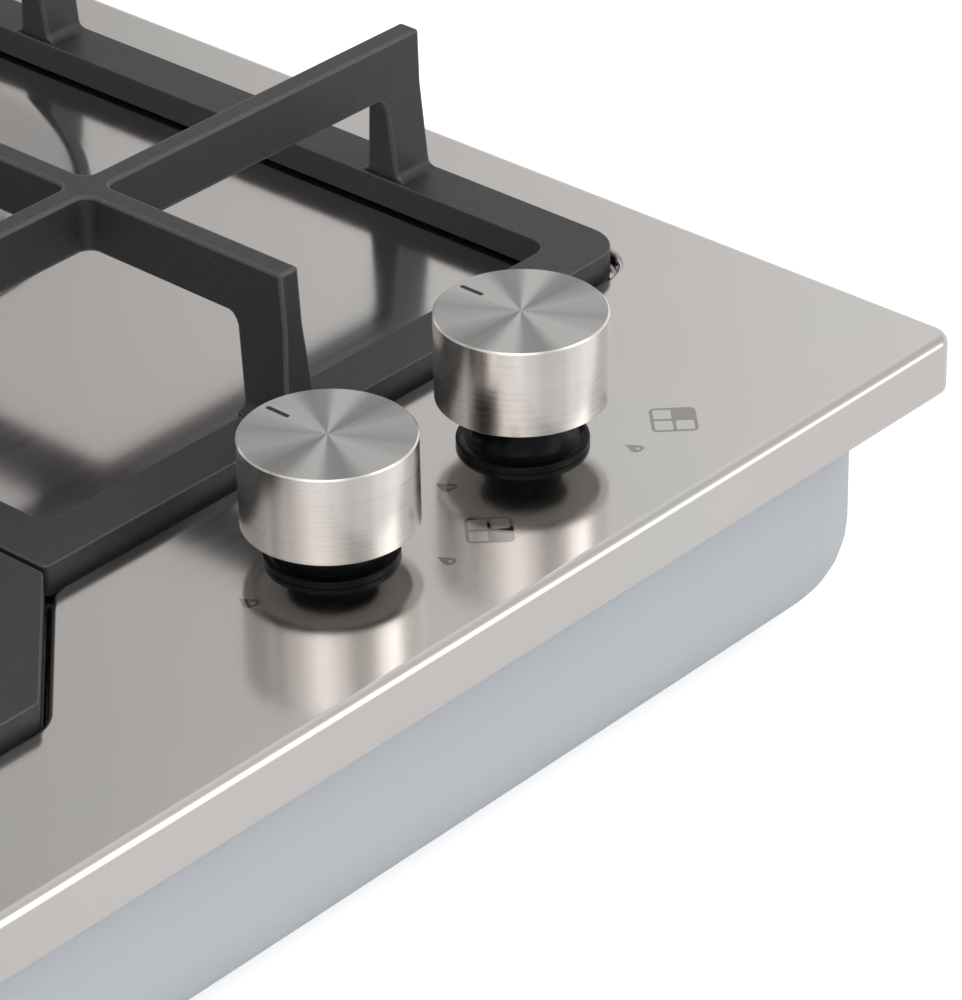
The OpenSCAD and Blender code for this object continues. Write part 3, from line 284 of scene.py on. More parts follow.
class Surface:
    """Patches gathered into one mesh; coincident points are joined when it is made."""

    def __init__(self):
        self.points, self.faces, self.slots, self.about, self.count = [], [], [], [], 0

    def add(self, points, faces, slot=0, about=(0, 0, 0)):
        """Adds a patch, its material index and the axis that its turned finish runs round."""
        faces = np.asarray(faces) + self.count
        self.points.append(points)
        self.about.append(points - np.asarray(about, float))
        self.faces += faces.tolist()
        self.slots += [slot] * len(faces)
        self.count += len(points)

    def strip(self, rows, slot=0, about=(0, 0, 0), flip=False, closed=True):
        """Quads between neighbouring rows of equally many points; closed rows run round to their start."""
        rows = np.asarray(rows, float)
        m, n = rows.shape[:2]
        i, j = np.meshgrid(np.arange(m - 1), np.arange(n if closed else n - 1), indexing="ij")
        k = (j + 1) % n
        quads = np.stack([i * n + j, i * n + k, (i + 1) * n + k, (i + 1) * n + j], -1).reshape(-1, 4)
        self.add(rows.reshape(-1, 3), quads[:, ::-1] if flip else quads, slot, about)

    def plate(self, outlines, z, slot=0, about=(0, 0, 0), up=True):
        """Flat sheet at height z inside the first outline and outside the rest, as triangles."""
        points = np.concatenate([raised(o, z) for o in outlines])
        triangles = np.array(tessellate_polygon([[Vector(p) for p in raised(o, z)] for o in outlines]))
        a, b, c = (points[triangles[:, i], :2] for i in range(3))
        facing = (b[:, 0] - a[:, 0]) * (c[:, 1] - a[:, 1]) - (b[:, 1] - a[:, 1]) * (c[:, 0] - a[:, 0]) > 0
        triangles[facing != up] = triangles[facing != up][:, ::-1]
        self.add(points, triangles, slot, about)

    def lathe(self, profile, place, sides, slot=0):
        """Profile of (r, z) turned about a vertical axis: (x + r cos a, y + r sin a, z).

        A pole is made where r = 0."""
        x, y, z0 = place
        a = np.arange(sides) * 2 * np.pi / sides
        r, z = np.asarray(profile, float).T
        rows = np.stack([x + r[:, None] * np.cos(a), y + r[:, None] * np.sin(a),
                         np.broadcast_to((z0 + z)[:, None], (len(r), sides))], -1)
        self.strip(rows, slot, place, flip=True)

    def slab(self, loop, low, high, slot=0, about=(0, 0, 0), holes=()):
        """Closed plate between two heights inside an outline and outside its holes."""
        self.plate([loop, *holes], high, slot, about)
        self.plate([loop, *holes], low, slot, about, up=False)
        self.strip([raised(loop, low), raised(loop, high)], slot, about)
        for hole in holes:
            self.strip([raised(hole, high), raised(hole, low)], slot, about)

    def build(self, name, materials, angle=None):
        """Makes the object, joins coincident points and drops faces that closed up on a pole."""
        mesh = bpy.data.meshes.new(name)
        mesh.from_pydata((np.concatenate(self.points) * MM).tolist(), [], self.faces)
        mesh.attributes.new("about", "FLOAT_VECTOR", "POINT").data.foreach_set(
            "vector", np.concatenate(self.about).astype(np.float32).ravel())
        for m in materials:
            mesh.materials.append(m)
        mesh.polygons.foreach_set("material_index", self.slots)
        bm = bmesh.new()
        bm.from_mesh(mesh)
        joined(bm, NEAR)
        bm.to_mesh(mesh)
        bm.free()
        return placed(name, mesh, angle)


def joined(bm, near):
    """Joins points that lie near each other and drops the faces that closed up."""
    bmesh.ops.remove_doubles(bm, verts=bm.verts, dist=near)
    bmesh.ops.dissolve_degenerate(bm, edges=bm.edges, dist=NEAR)


def shaded(mesh, angle):
    """Shades the mesh smooth, but for edges sharper than the angle in degrees where one is given."""
    mesh.shade_smooth()
    if angle is not None:
        mesh.set_sharp_from_angle(angle=math.radians(angle))
    return mesh


def placed(name, mesh, angle):
    """Shades the mesh and links it as an object at the origin."""
    o = bpy.data.objects.new(name, shaded(mesh, angle))
    bpy.context.scene.collection.objects.link(o)
    return o


def even_normals(o):
    """Lets large faces decide the shading, as on pressed or turned metal."""
    o.modifiers.new("normals", "WEIGHTED_NORMAL").keep_sharp = True
    return o


def baked(o, angle):
    """Applies the modifiers to the mesh and shades it again."""
    depsgraph = bpy.context.evaluated_depsgraph_get()
    mesh = bpy.data.meshes.new_from_object(o.evaluated_get(depsgraph))
    o.modifiers.clear()
    o.data = shaded(mesh, angle)
    return o


def cast_edges(bm, widths, steps, heights):
    """Rounds the outer edges that reach above each height by its width.

    First the flat regions become single faces. The rounded faces take the second material, the paler enamel
    that paints a highlight along them."""
    flat, sharp = math.radians(1), math.radians(35)
    bmesh.ops.dissolve_limit(bm, angle_limit=flat, verts=bm.verts, edges=bm.edges,
                             use_dissolve_boundaries=False)
    for width, height in zip(widths, heights):
        edges = [e for e in bm.edges
                 if e.calc_face_angle_signed(0) > sharp and max(v.co.z for v in e.verts) > height]
        bmesh.ops.bevel(bm, geom=edges, offset=width, offset_type="OFFSET", segments=steps, profile=0.5,
                        affect="EDGES", clamp_overlap=False, loop_slide=True, material=1)


def merged_copy(node, name, materials, angle=30, rounding=None):
    """A joined copy of a CAD node's triangles, with its materials, shaded smooth below the angle.

    With rounding = (widths, steps, heights), its edges are finished by cast_edges."""
    mesh = frame["nodes"][node].data.copy()
    mesh.materials.clear()
    for m in materials:
        mesh.materials.append(m)
    bm = bmesh.new()
    bm.from_mesh(mesh)
    joined(bm, CAD_NEAR)
    for f in bm.faces:
        f.material_index = 0
    if rounding:
        cast_edges(bm, *rounding)
    bm.to_mesh(mesh)
    bm.free()
    if "custom_normal" in mesh.attributes:
        mesh.attributes.remove(mesh.attributes["custom_normal"])
    return placed(name, mesh, angle)


def finished(o, body, slot, *nodes):
    """Puts a piece on its body and hides the CAD nodes that it stands for. Its slot is not used."""
    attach(o, body)
    if nodes:
        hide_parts(*nodes)


def copied(node, name, body, slot, angle=30):
    """Puts a finished copy of a CAD node in its place."""
    finished(even_normals(merged_copy(node, name, [material(slot)], angle)), body, slot, node)


# Shader nodes and shared groups

def socket_group(name, inputs, outputs):
    """New shader group with the named sockets; returns its tree and its two end nodes."""
    tree = bpy.data.node_groups.new(name, "ShaderNodeTree")
    kinds = {"value": "NodeSocketFloat", "vector": "NodeSocketVector", "colour": "NodeSocketColor"}
    for label, kind, default in inputs:
        s = tree.interface.new_socket(label, in_out="INPUT", socket_type=kinds[kind])
        if default is not None:
            s.default_value = default
    for label, kind in outputs:
        tree.interface.new_socket(label, in_out="OUTPUT", socket_type=kinds[kind])
    return tree, tree.nodes.new("NodeGroupInput"), tree.nodes.new("NodeGroupOutput")


def put(tree, kind, links=None, **settings):
    """Adds a node. Settings set its inputs by name or as in0, in1 and so on, or else its properties.

    links maps an input's name or number to the socket that feeds it."""
    node = tree.nodes.new("ShaderNode" + kind)
    for key, value in settings.items():
        if key in node.inputs.keys():
            node.inputs[key].default_value = value
        elif key.startswith("in") and key[2:].isdigit():
            node.inputs[int(key[2:])].default_value = value
        else:
            setattr(node, key, value)
    for key, source in (links or {}).items():
        tree.links.new(source, node.inputs[key])
    return node


def feed(tree, socket, source):
    """Links an input to a socket, or sets it to a plain value."""
    if isinstance(source, bpy.types.NodeSocket):
        tree.links.new(source, socket)
    else:
        socket.default_value = source


def sums(tree, operation, a, b=None, **values):
    """Value of a Math node."""
    links = {0: a} if b is None else {0: a, 1: b}
    return put(tree, "Math", links, operation=operation, **values).outputs[0]


def ramp(tree, source, stops, interpolation="EASE"):
    """Colour ramp over source with (place, grey or colour) stops."""
    node = put(tree, "ValToRGB", {0: source})
    node.color_ramp.interpolation = interpolation
    while len(node.color_ramp.elements) < len(stops):
        node.color_ramp.elements.new(0.5)
    for element, (place, shade) in zip(node.color_ramp.elements, stops):
        element.position = place
        element.color = (*((shade,) * 3 if isinstance(shade, (int, float)) else shade), 1)
    return node.outputs["Color"]


def noise(tree, vector, scale, detail=2.0, rough=0.5):
    """Noise over a vector; returns the factor."""
    texture = put(tree, "TexNoise", {"Vector": vector}, Scale=scale, Detail=detail, Roughness=rough)
    return texture.outputs["Fac"]


def varied(tree, source, low, high, **settings):
    """Value that runs from low to high with source."""
    span = put(tree, "MapRange", {"Value": source}, **{"To Min": low, "To Max": high}, **settings)
    return span.outputs["Result"]


def multiplied(tree, a, b, share=1.0):
    """Colour a times colour b, mixed in by share; each of the three is a socket or a plain value."""
    node = put(tree, "Mix", data_type="RGBA", blend_type="MULTIPLY")
    for key, source in ((6, a), (7, b), (0, share)):
        feed(tree, node.inputs[key], source)
    return node.outputs[2]


# Painted reflection on the knob top: levels of its light and dark sectors in the base colour, by angle in
# half turns from +X
PAINTED_TOP_REFLECTION = (
    (0.0, 0.30), (0.05, 0.33), (0.145, 0.62), (0.19, 0.64), (0.255, 0.36), (0.31, 0.34), (0.40, 0.60),
    (0.50, 0.62), (0.61, 0.50), (0.67, 0.42), (0.76, 0.48), (0.84, 0.50), (0.92, 0.40), (1.0, 0.30))

# Painted reflection on the knob side: levels of its upright light and dark bands in the base colour, by
# angle in half turns from +X
PAINTED_SIDE_REFLECTION = (
    (0.0, 0.90), (0.04, 0.58), (0.095, 0.76), (0.15, 0.92), (0.207, 1.0), (0.262, 0.76), (0.318, 0.62),
    (0.373, 0.66), (0.429, 0.84), (0.484, 0.98), (0.56, 1.0), (0.97, 1.0), (1.0, 0.90))


def make_groups():
    """Shared effects: soft tint, brushed lines, cast grain, and a knob's turned rings with its painted
    reflection.
    """
    g, start, end = socket_group("Soft tint", [
        ("Vector", "vector", None), ("Base", "colour", (0.7, 0.7, 0.7, 1)), ("Strength", "value", 0.3)],
        [("Colour", "colour")])
    where = start.outputs["Vector"]
    warm = ramp(g, noise(g, where, 9, 1), [(0.38, (0.93, 1.0, 0.96)), (0.62, (1.0, 0.93, 0.92))])
    level = ramp(g, noise(g, where, 5, 2), [(0.3, 0.86), (0.7, 1.0)])
    tint = multiplied(g, start.outputs["Base"], multiplied(g, warm, level), start.outputs["Strength"])
    g.links.new(tint, end.inputs["Colour"])

    g, start, end = socket_group("Brushed lines", [
        ("Vector", "vector", None), ("Stretch", "vector", (6, 900, 6))], [("Lines", "value")])
    mapped = put(g, "VectorMath", {0: start.outputs["Vector"], 1: start.outputs["Stretch"]},
                 operation="MULTIPLY")
    wide = put(g, "VectorMath", {0: mapped.outputs[0]}, operation="SCALE", Scale=0.23)
    lines = sums(g, "ADD", noise(g, mapped.outputs[0], 1.0, 3, 0.6), noise(g, wide.outputs[0], 1.0, 1))
    g.links.new(sums(g, "MULTIPLY", lines, in1=0.5), end.inputs["Lines"])

    g, start, end = socket_group("Cast grain", [("Vector", "vector", None), ("Scale", "value", 1800.0)],
                                 [("Height", "value"), ("Specks", "value")])
    where = start.outputs["Vector"]
    grains = put(g, "TexNoise", {"Vector": where, "Scale": start.outputs["Scale"]}, Detail=3.0,
                 Roughness=0.65)
    high = put(g, "Math", {0: noise(g, where, 260, 2), 2: grains.outputs["Fac"]},
               operation="MULTIPLY_ADD", in1=0.7)
    g.links.new(high.outputs[0], end.inputs["Height"])
    g.links.new(ramp(g, noise(g, where, 2200, 2, 0.7), [(0.62, 0.0), (0.76, 1.0)]), end.inputs["Specks"])

    # A knob's turned rings, with its painted reflection as sectors and bands
    g, start, end = socket_group("Turned rings and painted reflection", [("About", "vector", None)],
                                 [("Sectors", "value"), ("Bands", "value"), ("Rings", "value")])
    about = start.outputs["About"]
    parts = put(g, "SeparateXYZ", {0: about})
    turn = sums(g, "DIVIDE", sums(g, "ARCTAN2", parts.outputs["Y"], parts.outputs["X"]), in1=math.pi)
    half_turn = sums(g, "WRAP", turn, in1=1.0, in2=0.0)
    # Painted reflection of the knob top, as sectors by angle
    g.links.new(ramp(g, half_turn, PAINTED_TOP_REFLECTION), end.inputs["Sectors"])
    # Painted reflection of the knob side, as bands by angle
    g.links.new(ramp(g, half_turn, PAINTED_SIDE_REFLECTION), end.inputs["Bands"])
    flat = put(g, "CombineXYZ", {"X": parts.outputs["X"], "Y": parts.outputs["Y"]})
    radius = put(g, "VectorMath", {0: flat.outputs[0]}, operation="LENGTH")
    rings = put(g, "TexNoise", {"W": radius.outputs["Value"]}, noise_dimensions="1D", Scale=9.0, Detail=3.0,
                Roughness=0.7)
    g.links.new(rings.outputs["Fac"], end.inputs["Rings"])


def use_group(tree, name, links=None, **values):
    """Adds a shared group to a material's tree."""
    node = tree.nodes.new("ShaderNodeGroup")
    node.node_tree = bpy.data.node_groups[name]
    for key, value in values.items():
        node.inputs[key].default_value = value
    for key, source in (links or {}).items():
        tree.links.new(source, node.inputs[key])
    return node


# Materials

def shader(name, base, roughness, metallic=0.0, **constants):
    """Principled material with its constants on the sockets.

    Returns the material, its tree, its shader and the object coordinates."""
    m = bpy.data.materials.new("cooktop " + name)
    m.use_nodes = True
    tree = m.node_tree
    bsdf = next(n for n in tree.nodes if n.type == "BSDF_PRINCIPLED")
    bsdf.inputs["Base Color"].default_value = (*base, 1)
    bsdf.inputs["Roughness"].default_value = roughness
    bsdf.inputs["Metallic"].default_value = metallic
    for key, value in constants.items():
        bsdf.inputs[key.replace("_", " ")].default_value = value
    return m, tree, bsdf, put(tree, "TexCoord").outputs["Object"]


def bumped(tree, bsdf, height, distance, strength):
    """Feeds a height through a Bump node to the shader's normal."""
    bump = put(tree, "Bump", {"Height": height}, Distance=distance, Strength=strength)
    tree.links.new(bump.outputs[0], bsdf.inputs["Normal"])


def tinted(tree, bsdf, where, base, strength):
    """Feeds the base colour through the soft tint."""
    tint = use_group(tree, "Soft tint", {"Vector": where}, Base=(*base, 1), Strength=strength)
    tree.links.new(tint.outputs["Colour"], bsdf.inputs["Base Color"])


def round_the_axis(tree, bsdf):
    """Turns the shader's grain round the piece's own axis; returns the knob's turned rings and painted
    reflection.
    """
    about = put(tree, "Attribute", attribute_name="about").outputs["Vector"]
    round_it = put(tree, "VectorMath", {1: about}, operation="CROSS_PRODUCT", in0=(0, 0, 1))
    world = put(tree, "VectorTransform", {0: round_it.outputs[0]}, vector_type="VECTOR",
                convert_from="OBJECT", convert_to="WORLD")
    tree.links.new(world.outputs[0], bsdf.inputs["Tangent"])
    return use_group(tree, "Turned rings and painted reflection", {"About": about})


def deck_steel(base):
    """Fine brushed stainless steel with soft patches of tint, that still mirrors what stands on it."""
    m, tree, bsdf, where = shader("deck_steel", base, 0.09, 1.0)
    tinted(tree, bsdf, where, base, 0.6)
    lines = use_group(tree, "Brushed lines", {"Vector": where}, Stretch=(8, 1500, 8)).outputs["Lines"]
    tree.links.new(varied(tree, lines, 0.09, 0.20), bsdf.inputs["Roughness"])
    return m


def mark_steel(base):
    """Polished print of the marks, which mirrors more sharply than the steel round it."""
    m, tree, bsdf, where = shader("etched_mark", base, 0.05, 1.0)
    tinted(tree, bsdf, where, base, 0.4)
    tree.links.new(varied(tree, noise(tree, where, 4000), 0.03, 0.07), bsdf.inputs["Roughness"])
    return m


def pan_paint(base):
    """Smooth pale blue-grey paint."""
    m, tree, bsdf, where = shader("pan_enamel", base, 0.42)
    tinted(tree, bsdf, where, base, 0.12)
    bumped(tree, bsdf, noise(tree, where, 1400, 2), 0.00002, 0.35)
    tree.links.new(varied(tree, noise(tree, where, 60), 0.38, 0.48), bsdf.inputs["Roughness"])
    return m


def grate_iron(name, base):
    """Matt dark enamel over a fine cast grain, with specks three times as pale; with the grates' paler edge
    colour it paints the highlight along their rounded edges.
    """
    m, tree, bsdf, where = shader(name, base, 0.45, Specular_IOR_Level=0.5)
    grain = use_group(tree, "Cast grain", {"Vector": where})
    pale = (*(3 * v for v in base), 1)
    shade = put(tree, "Mix", {0: grain.outputs["Specks"]}, data_type="RGBA", in6=(*base, 1), in7=pale)
    tree.links.new(shade.outputs[2], bsdf.inputs["Base Color"])
    tree.links.new(varied(tree, grain.outputs["Height"], 0.28, 0.48), bsdf.inputs["Roughness"])
    bumped(tree, bsdf, grain.outputs["Height"], 0.00012, 0.5)
    return m


def plain(name, base, roughness, metallic=0.0, scale=900, depth=0.00003, **constants):
    """Cast, moulded or drawn surface: a soft tint, a fine bump and a roughness that varies with it."""
    m, tree, bsdf, where = shader(name, base, roughness, metallic, **constants)
    tinted(tree, bsdf, where, base, 0.25)
    grain = noise(tree, where, scale, 3, 0.6)
    tree.links.new(varied(tree, grain, roughness * 0.85, roughness * 1.2), bsdf.inputs["Roughness"])
    bumped(tree, bsdf, grain, depth, 0.5)
    return m


def spun_steel(base):
    """Knob top: painted reflection as light and dark sectors in the base colour, with anisotropy and fine
    turned rings.
    """
    m, tree, bsdf, _ = shader("spun_steel", base, 0.26, 1.0, Anisotropic=0.5)
    rings_and_painted_reflection = round_the_axis(tree, bsdf)
    # The base colour carries the painted reflection of the sectors
    tree.links.new(multiplied(tree, rings_and_painted_reflection.outputs["Sectors"], (*base, 1)), bsdf.inputs["Base Color"])
    tree.links.new(varied(tree, rings_and_painted_reflection.outputs["Rings"], 0.24, 0.32), bsdf.inputs["Roughness"])
    bumped(tree, bsdf, rings_and_painted_reflection.outputs["Rings"], 0.00001, 0.25)
    return m


def side_steel(base):
    """Knob side: brushed round the knob, with painted reflection as upright light and dark bands in the
    base colour, and fine level lines.
    """
    m, tree, bsdf, where = shader("knob_steel", base, 0.2, 1.0, Anisotropic=0.6)
    rings_and_painted_reflection = round_the_axis(tree, bsdf)
    lines = use_group(tree, "Brushed lines", {"Vector": where}, Stretch=(40, 40, 5200)).outputs["Lines"]
    # The base colour carries the painted reflection of the bands, with the brushed lines
    level = sums(tree, "MULTIPLY", rings_and_painted_reflection.outputs["Bands"], varied(tree, lines, 0.82, 1.12))
    tree.links.new(multiplied(tree, level, (*base, 1)), bsdf.inputs["Base Color"])
    tree.links.new(varied(tree, lines, 0.14, 0.3), bsdf.inputs["Roughness"])
    bumped(tree, bsdf, lines, 0.00002, 0.6)
    return m


def make_materials(c):
    """All materials, by the record's slot names and this scene's own, in the finishes' colours."""
    make_groups()
    return {
        "deck_steel": deck_steel(c.deck),
        "pan_enamel": pan_paint(c.pan),
        "grate_iron": grate_iron("grate_iron", c.grates),
        # Painted highlight: paler enamel on the grates' rounded edges
        "grate_edge": grate_iron("grate_edge", c.grate_edges),
        "knob_steel": side_steel(c.knob_side),
        "spun_steel": spun_steel(c.knob_top),
        "etched_mark": mark_steel(c.marks),
        "pointer_ink": plain("pointer_ink", c.pointer, 0.5),
        "seal_rubber": plain("seal_rubber", c.rubber, 0.25, scale=700, depth=0.00001,
                             Specular_IOR_Level=0.12),
        "foam": plain("foam", c.foam, 0.85, scale=2200, depth=0.00015),
        "zinc_steel": plain("zinc_steel", c.zinc, 0.32, 1.0, scale=500),
        "burner_alloy": plain("burner_alloy", c.burner, 0.48, 1.0, scale=1600, depth=0.00006),
        "brass": plain("brass", c.brass, 0.3, 1.0, scale=500),
        "tube_alloy": plain("tube_alloy", (0.70, 0.71, 0.72), 0.35, 1.0, scale=400),
        "ceramic": plain("ceramic", (0.80, 0.78, 0.74), 0.22, scale=300, depth=0.00001),
        "white_plastic": plain("white_plastic", (0.74, 0.74, 0.72), 0.45, scale=1200),
        "core_plastic": plain("core_plastic", c.knob_lining, 0.5, scale=1200),
        "knob_lining": plain("knob_lining", c.knob_lining, 0.5, scale=1200),
        "cap_enamel": plain("cap_enamel", c.cap, 0.34, scale=1500, depth=0.00005),
    }


def material(name):
    """A material made by make_materials."""
    return bpy.data.materials["cooktop " + name]


# Pieces

def burner_places(b):
    """Centres of the burners in millimetres: front, right, rear, left."""
    side, front = b.side / MM, b.front / MM
    return [(0, -front), (side, 0), (0, front), (-side, 0)]


class CooktopOperator:
    """What the piece operators share."""

    bl_options = {"REGISTER", "UNDO"}


class OBJECT_OT_cooktop_materials(CooktopOperator, bpy.types.Operator):
    """Makes the materials and gives each CAD node the one of its slot"""

    bl_idname = "object.cooktop_materials"
    bl_label = "Materials"

    def execute(self, context):
        made = make_materials(context.scene.cooktop_finishes)
        slots = {s["node"]: s["material_slot"] for s in frame["record"]["subparts"]}
        for node, o in frame["nodes"].items():
            o.material_slots[0].link = "OBJECT"
            o.material_slots[0].material = made[slots[node]]
        return {"FINISHED"}


class OBJECT_OT_cooktop_deck(CooktopOperator, bpy.types.Operator):
    """Pressed deck of one sheet: rolled edge and lip, soft recess and dished burner wells"""

    bl_idname = "object.cooktop_deck"
    bl_label = "Deck"

    def execute(self, context):
        p, b, k = context.scene.cooktop_deck, context.scene.cooktop_burners, context.scene.cooktop_knobs
        top, roll, hem, fillet = p.top / MM, p.roll / MM, p.hem / MM, p.recess_fillet / MM
        foot, floor = top - p.lip / MM, top - p.recess_drop / MM
        plan = rectangle(p.width / MM, p.depth / MM)
        skin = Surface()

        def rim(inset, radius=p.corner / MM):
            return outline(plan, inset, radius, 12)

        # The lip's profile as (inset, height), from the hem up and over the roll
        profile = np.concatenate([
            arc((hem, foot + hem), hem, 270, 180, 4), arc((roll, top - roll), roll, 180, 90, 10)])
        flange = raised(rim(p.flange / MM, (p.flange + p.flange_corner) / MM), foot)
        skin.strip([flange, *(raised(rim(inset), z) for inset, z in profile)])

        x, y, cy = p.recess_x / MM, p.recess_y / MM, p.recess_centre_y / MM
        slant = p.recess_slant / MM
        half = [(x, y), (slant - y, y), (slant - cy, cy), (cy - slant, cy), (y - slant, y), (-x, y)]
        recess = half + [(-u, -v) for u, v in half]

        def well(inset):
            return outline(recess, inset, p.recess_corner / MM, 8)

        wall = np.concatenate([
            arc((-fillet, top - fillet), fillet, 90, 0, 6),
            arc((fillet, floor + fillet), fillet, 180, 270, 6)])
        skin.strip([raised(well(inset), z) for inset, z in wall])

        stems = [circle(u / MM, k.y / MM, p.stem_hole / MM, 32) for u in k.places]
        skin.plate([rim(roll), well(-fillet), *stems], top)

        sides, inner, outer = 128, p.dish_floor / MM, p.dish_rim / MM
        centres = burner_places(b)
        skin.plate([well(fillet), *(circle(u, v, outer, sides) for u, v in centres)], floor)
        # A dish falls as t t (3 - 2 t) while its radius shrinks with t
        t = np.linspace(0, 1, 15)
        radii = outer + (inner - outer) * t
        drops = floor - p.dish_drop / MM * t * t * (3 - 2 * t)
        for (u, v), spreader in zip(centres, b.spreaders):
            skin.strip([raised(circle(u, v, r, sides), z) for r, z in zip(radii, drops)])
            post = (spreader + b.post) / MM
            holes = [circle(*beside(u, v, post, a), r, 20) for a, r in zip(POST_ANGLES, POST_HOLES)]
            cup_hole = circle(u, v, spreader / MM - HOLE_INSET, 96)
            skin.plate([circle(u, v, inner, sides), cup_hole, *holes], drops[-1])
        self.tabs(skin, p)

        o = skin.build("deck_skin", [material("deck_steel")])
        sheet = o.modifiers.new("sheet", "SOLIDIFY")
        sheet.thickness, sheet.offset, sheet.use_even_offset = p.thickness, -1, True
        even_normals(baked(o, 40))
        finished(o, "root", "deck_steel", "deck")
        return {"FINISHED"}

    @staticmethod
    def tabs(skin, p):
        """Six tabs under the deck that take the pan's screws."""
        side, rear = p.tab_side / MM, p.tab_rear / MM
        for x, y, turn in ((side, TAB_SIDE_AT, 0), (side, -TAB_SIDE_AT, 0), (-side, TAB_SIDE_AT, 180),
                           (-side, -TAB_SIDE_AT, 180), (TAB_REAR_AT, rear, 90), (-TAB_REAR_AT, rear, 90)):
            arm = np.array([*turned(np.array([0.0, TAB_HALF_WIDTH]), math.radians(turn)), 0])
            high = np.array([x, y, (p.top - p.thickness) / MM])
            low = high - (0, 0, p.tab_drop / MM)
            skin.strip([[low - arm, low + arm], [high - arm, high + arm]], closed=False)


class OBJECT_OT_cooktop_pan(CooktopOperator, bpy.types.Operator):
    """Drawn pan"""

    bl_idname = "object.cooktop_pan"
    bl_label = "Pan"

    def execute(self, context):
        copied("pan", "pan_shell", "root", "pan_enamel", 24)
        return {"FINISHED"}


class OBJECT_OT_cooktop_grates(CooktopOperator, bpy.types.Operator):
    """Cast grates: the CAD form with its edges rounded as a casting's are, on rubber feet"""

    bl_idname = "object.cooktop_grates"
    bl_label = "Grates"

    def execute(self, context):
        p = context.scene.cooktop_grates
        rounding = ((p.rounding, p.frame_rounding), p.steps, (p.frame_top, p.foot))
        # The second material paints a highlight on the rounded edges
        made = [material("grate_iron"), material("grate_edge")]
        for place in GRATES:
            node, feet_node = "grate_" + place, "grate_feet_" + place
            o = merged_copy(node, "cast_grate_" + place, made, 50, rounding)
            finished(even_normals(o), node, "grate_iron", node)
            feet = merged_copy(feet_node, "rubber_feet_" + place, [material("seal_rubber")])
            finished(feet, node, "seal_rubber", feet_node)
        return {"FINISHED"}


class OBJECT_OT_cooktop_knobs(CooktopOperator, bpy.types.Operator):
    """Turned knobs with a spun top, a brushed side and an inked pointer"""

    bl_idname = "object.cooktop_knobs"
    bl_label = "Knobs"

    def execute(self, context):
        k, top = context.scene.cooktop_knobs, context.scene.cooktop_deck.top
        r, h, wall, c = k.radius / MM, k.height / MM, k.wall / MM, k.chamfer / MM
        ease, sides, ink_low, ink_high = 0.12, 192, h - 0.05, h + 0.02
        shell = softened([(r - c, h), (r, h - c), (r, c), (r - c, 0), (r - wall, 0)],
                         [0, ease, ease, ease, 0], 3)
        well, sunk = k.well / MM, k.sunk / MM
        lining = softened([(r - wall, 0), (r - wall, sunk), (well, sunk), (well, h - wall), (0, h - wall)],
                          [0, 0.4, 0.4, 0.6, 0], 3)
        head = np.stack([np.linspace(0, r - c, 12), np.full(12, h)], -1)
        half, reach = k.pointer_width / MM / 2, k.pointer_length / MM / 2
        made = [material(n) for n in ("knob_steel", "spun_steel", "pointer_ink", "knob_lining")]
        for place, x, rise in zip(PLACES, k.places, k.rises):
            at = (x / MM, k.y / MM, (top + rise) / MM)
            body = Surface()
            for index, profile in ((1, head), (0, shell), (3, lining)):
                body.lathe(profile, at, sides, index)
            middle = at[1] + r - k.pointer_gap / MM - reach
            pointer = outline(rectangle(2 * half, 2 * reach), 0, 0.45, 5) + (at[0], middle)
            body.slab(pointer, at[2] + ink_low, at[2] + ink_high, 2, at)
            o = body.build("turned_knob_" + place, made, 32)
            finished(even_normals(o), "knob_" + place, "knob_steel", "knob_" + place)
        return {"FINISHED"}


class OBJECT_OT_cooktop_seals(CooktopOperator, bpy.types.Operator):
    """Rubber seals: a thin rim, a hollow flare with a ridge and a neck"""

    bl_idname = "object.cooktop_seals"
    bl_label = "Seals"

    def execute(self, context):
        k, top = context.scene.cooktop_knobs, context.scene.cooktop_deck.top
        rim, neck, high = k.seal_radius / MM, k.seal_neck / MM, k.seal_height / MM
        bore, thick, foot, climb = 3.3, 1.6, 0.9, 7.1
        # The flare is a quarter of an ellipse: it narrows with sin a while it climbs with 1 - cos a
        a = np.radians(np.linspace(8, 90, 14))
        flare = np.stack([neck + (rim - 2 - neck) * (1 - np.sin(a)), foot + climb * (1 - np.cos(a))], -1)
        edge = softened([(bore, 0), (rim, 0), (rim, thick), (rim - 1.0, thick), (rim - 1.9, foot),
                         tuple(flare[0])], [0, 0.25, 0.45, 0.45, 0.5, 0], 5)
        lid = softened([tuple(flare[-1]), (neck - 0.6, high), (bore, high), (bore, 0)], [0, 0.8, 0.3, 0], 5)
        rings = Surface()
        for x in k.places:
            rings.lathe(np.concatenate([edge, flare[1:-1], lid]), (x / MM, k.y / MM, top / MM), 128)
        o = rings.build("seal_rings", [material("seal_rubber")], 50)
        finished(even_normals(o), "root", "seal_rubber", "knob_seals")
        return {"FINISHED"}


# Profiles of the electrode's post and wire and of the probe: corners (r, z) and their roundings
CERAMIC_POST = [(0, 3), (3, 3), (3, -22), (0, -22)], [0, 0.8, 0.4, 0]
SPARK_WIRE = [(0, 9), (1.1, 9), (1.1, 2.9), (0, 2.9)], [0, 0.7, 0, 0]
PROBE_TIP = [(0, 8), (2, 8), (2, -22), (0, -22)], [0, 1.5, 0.3, 0]


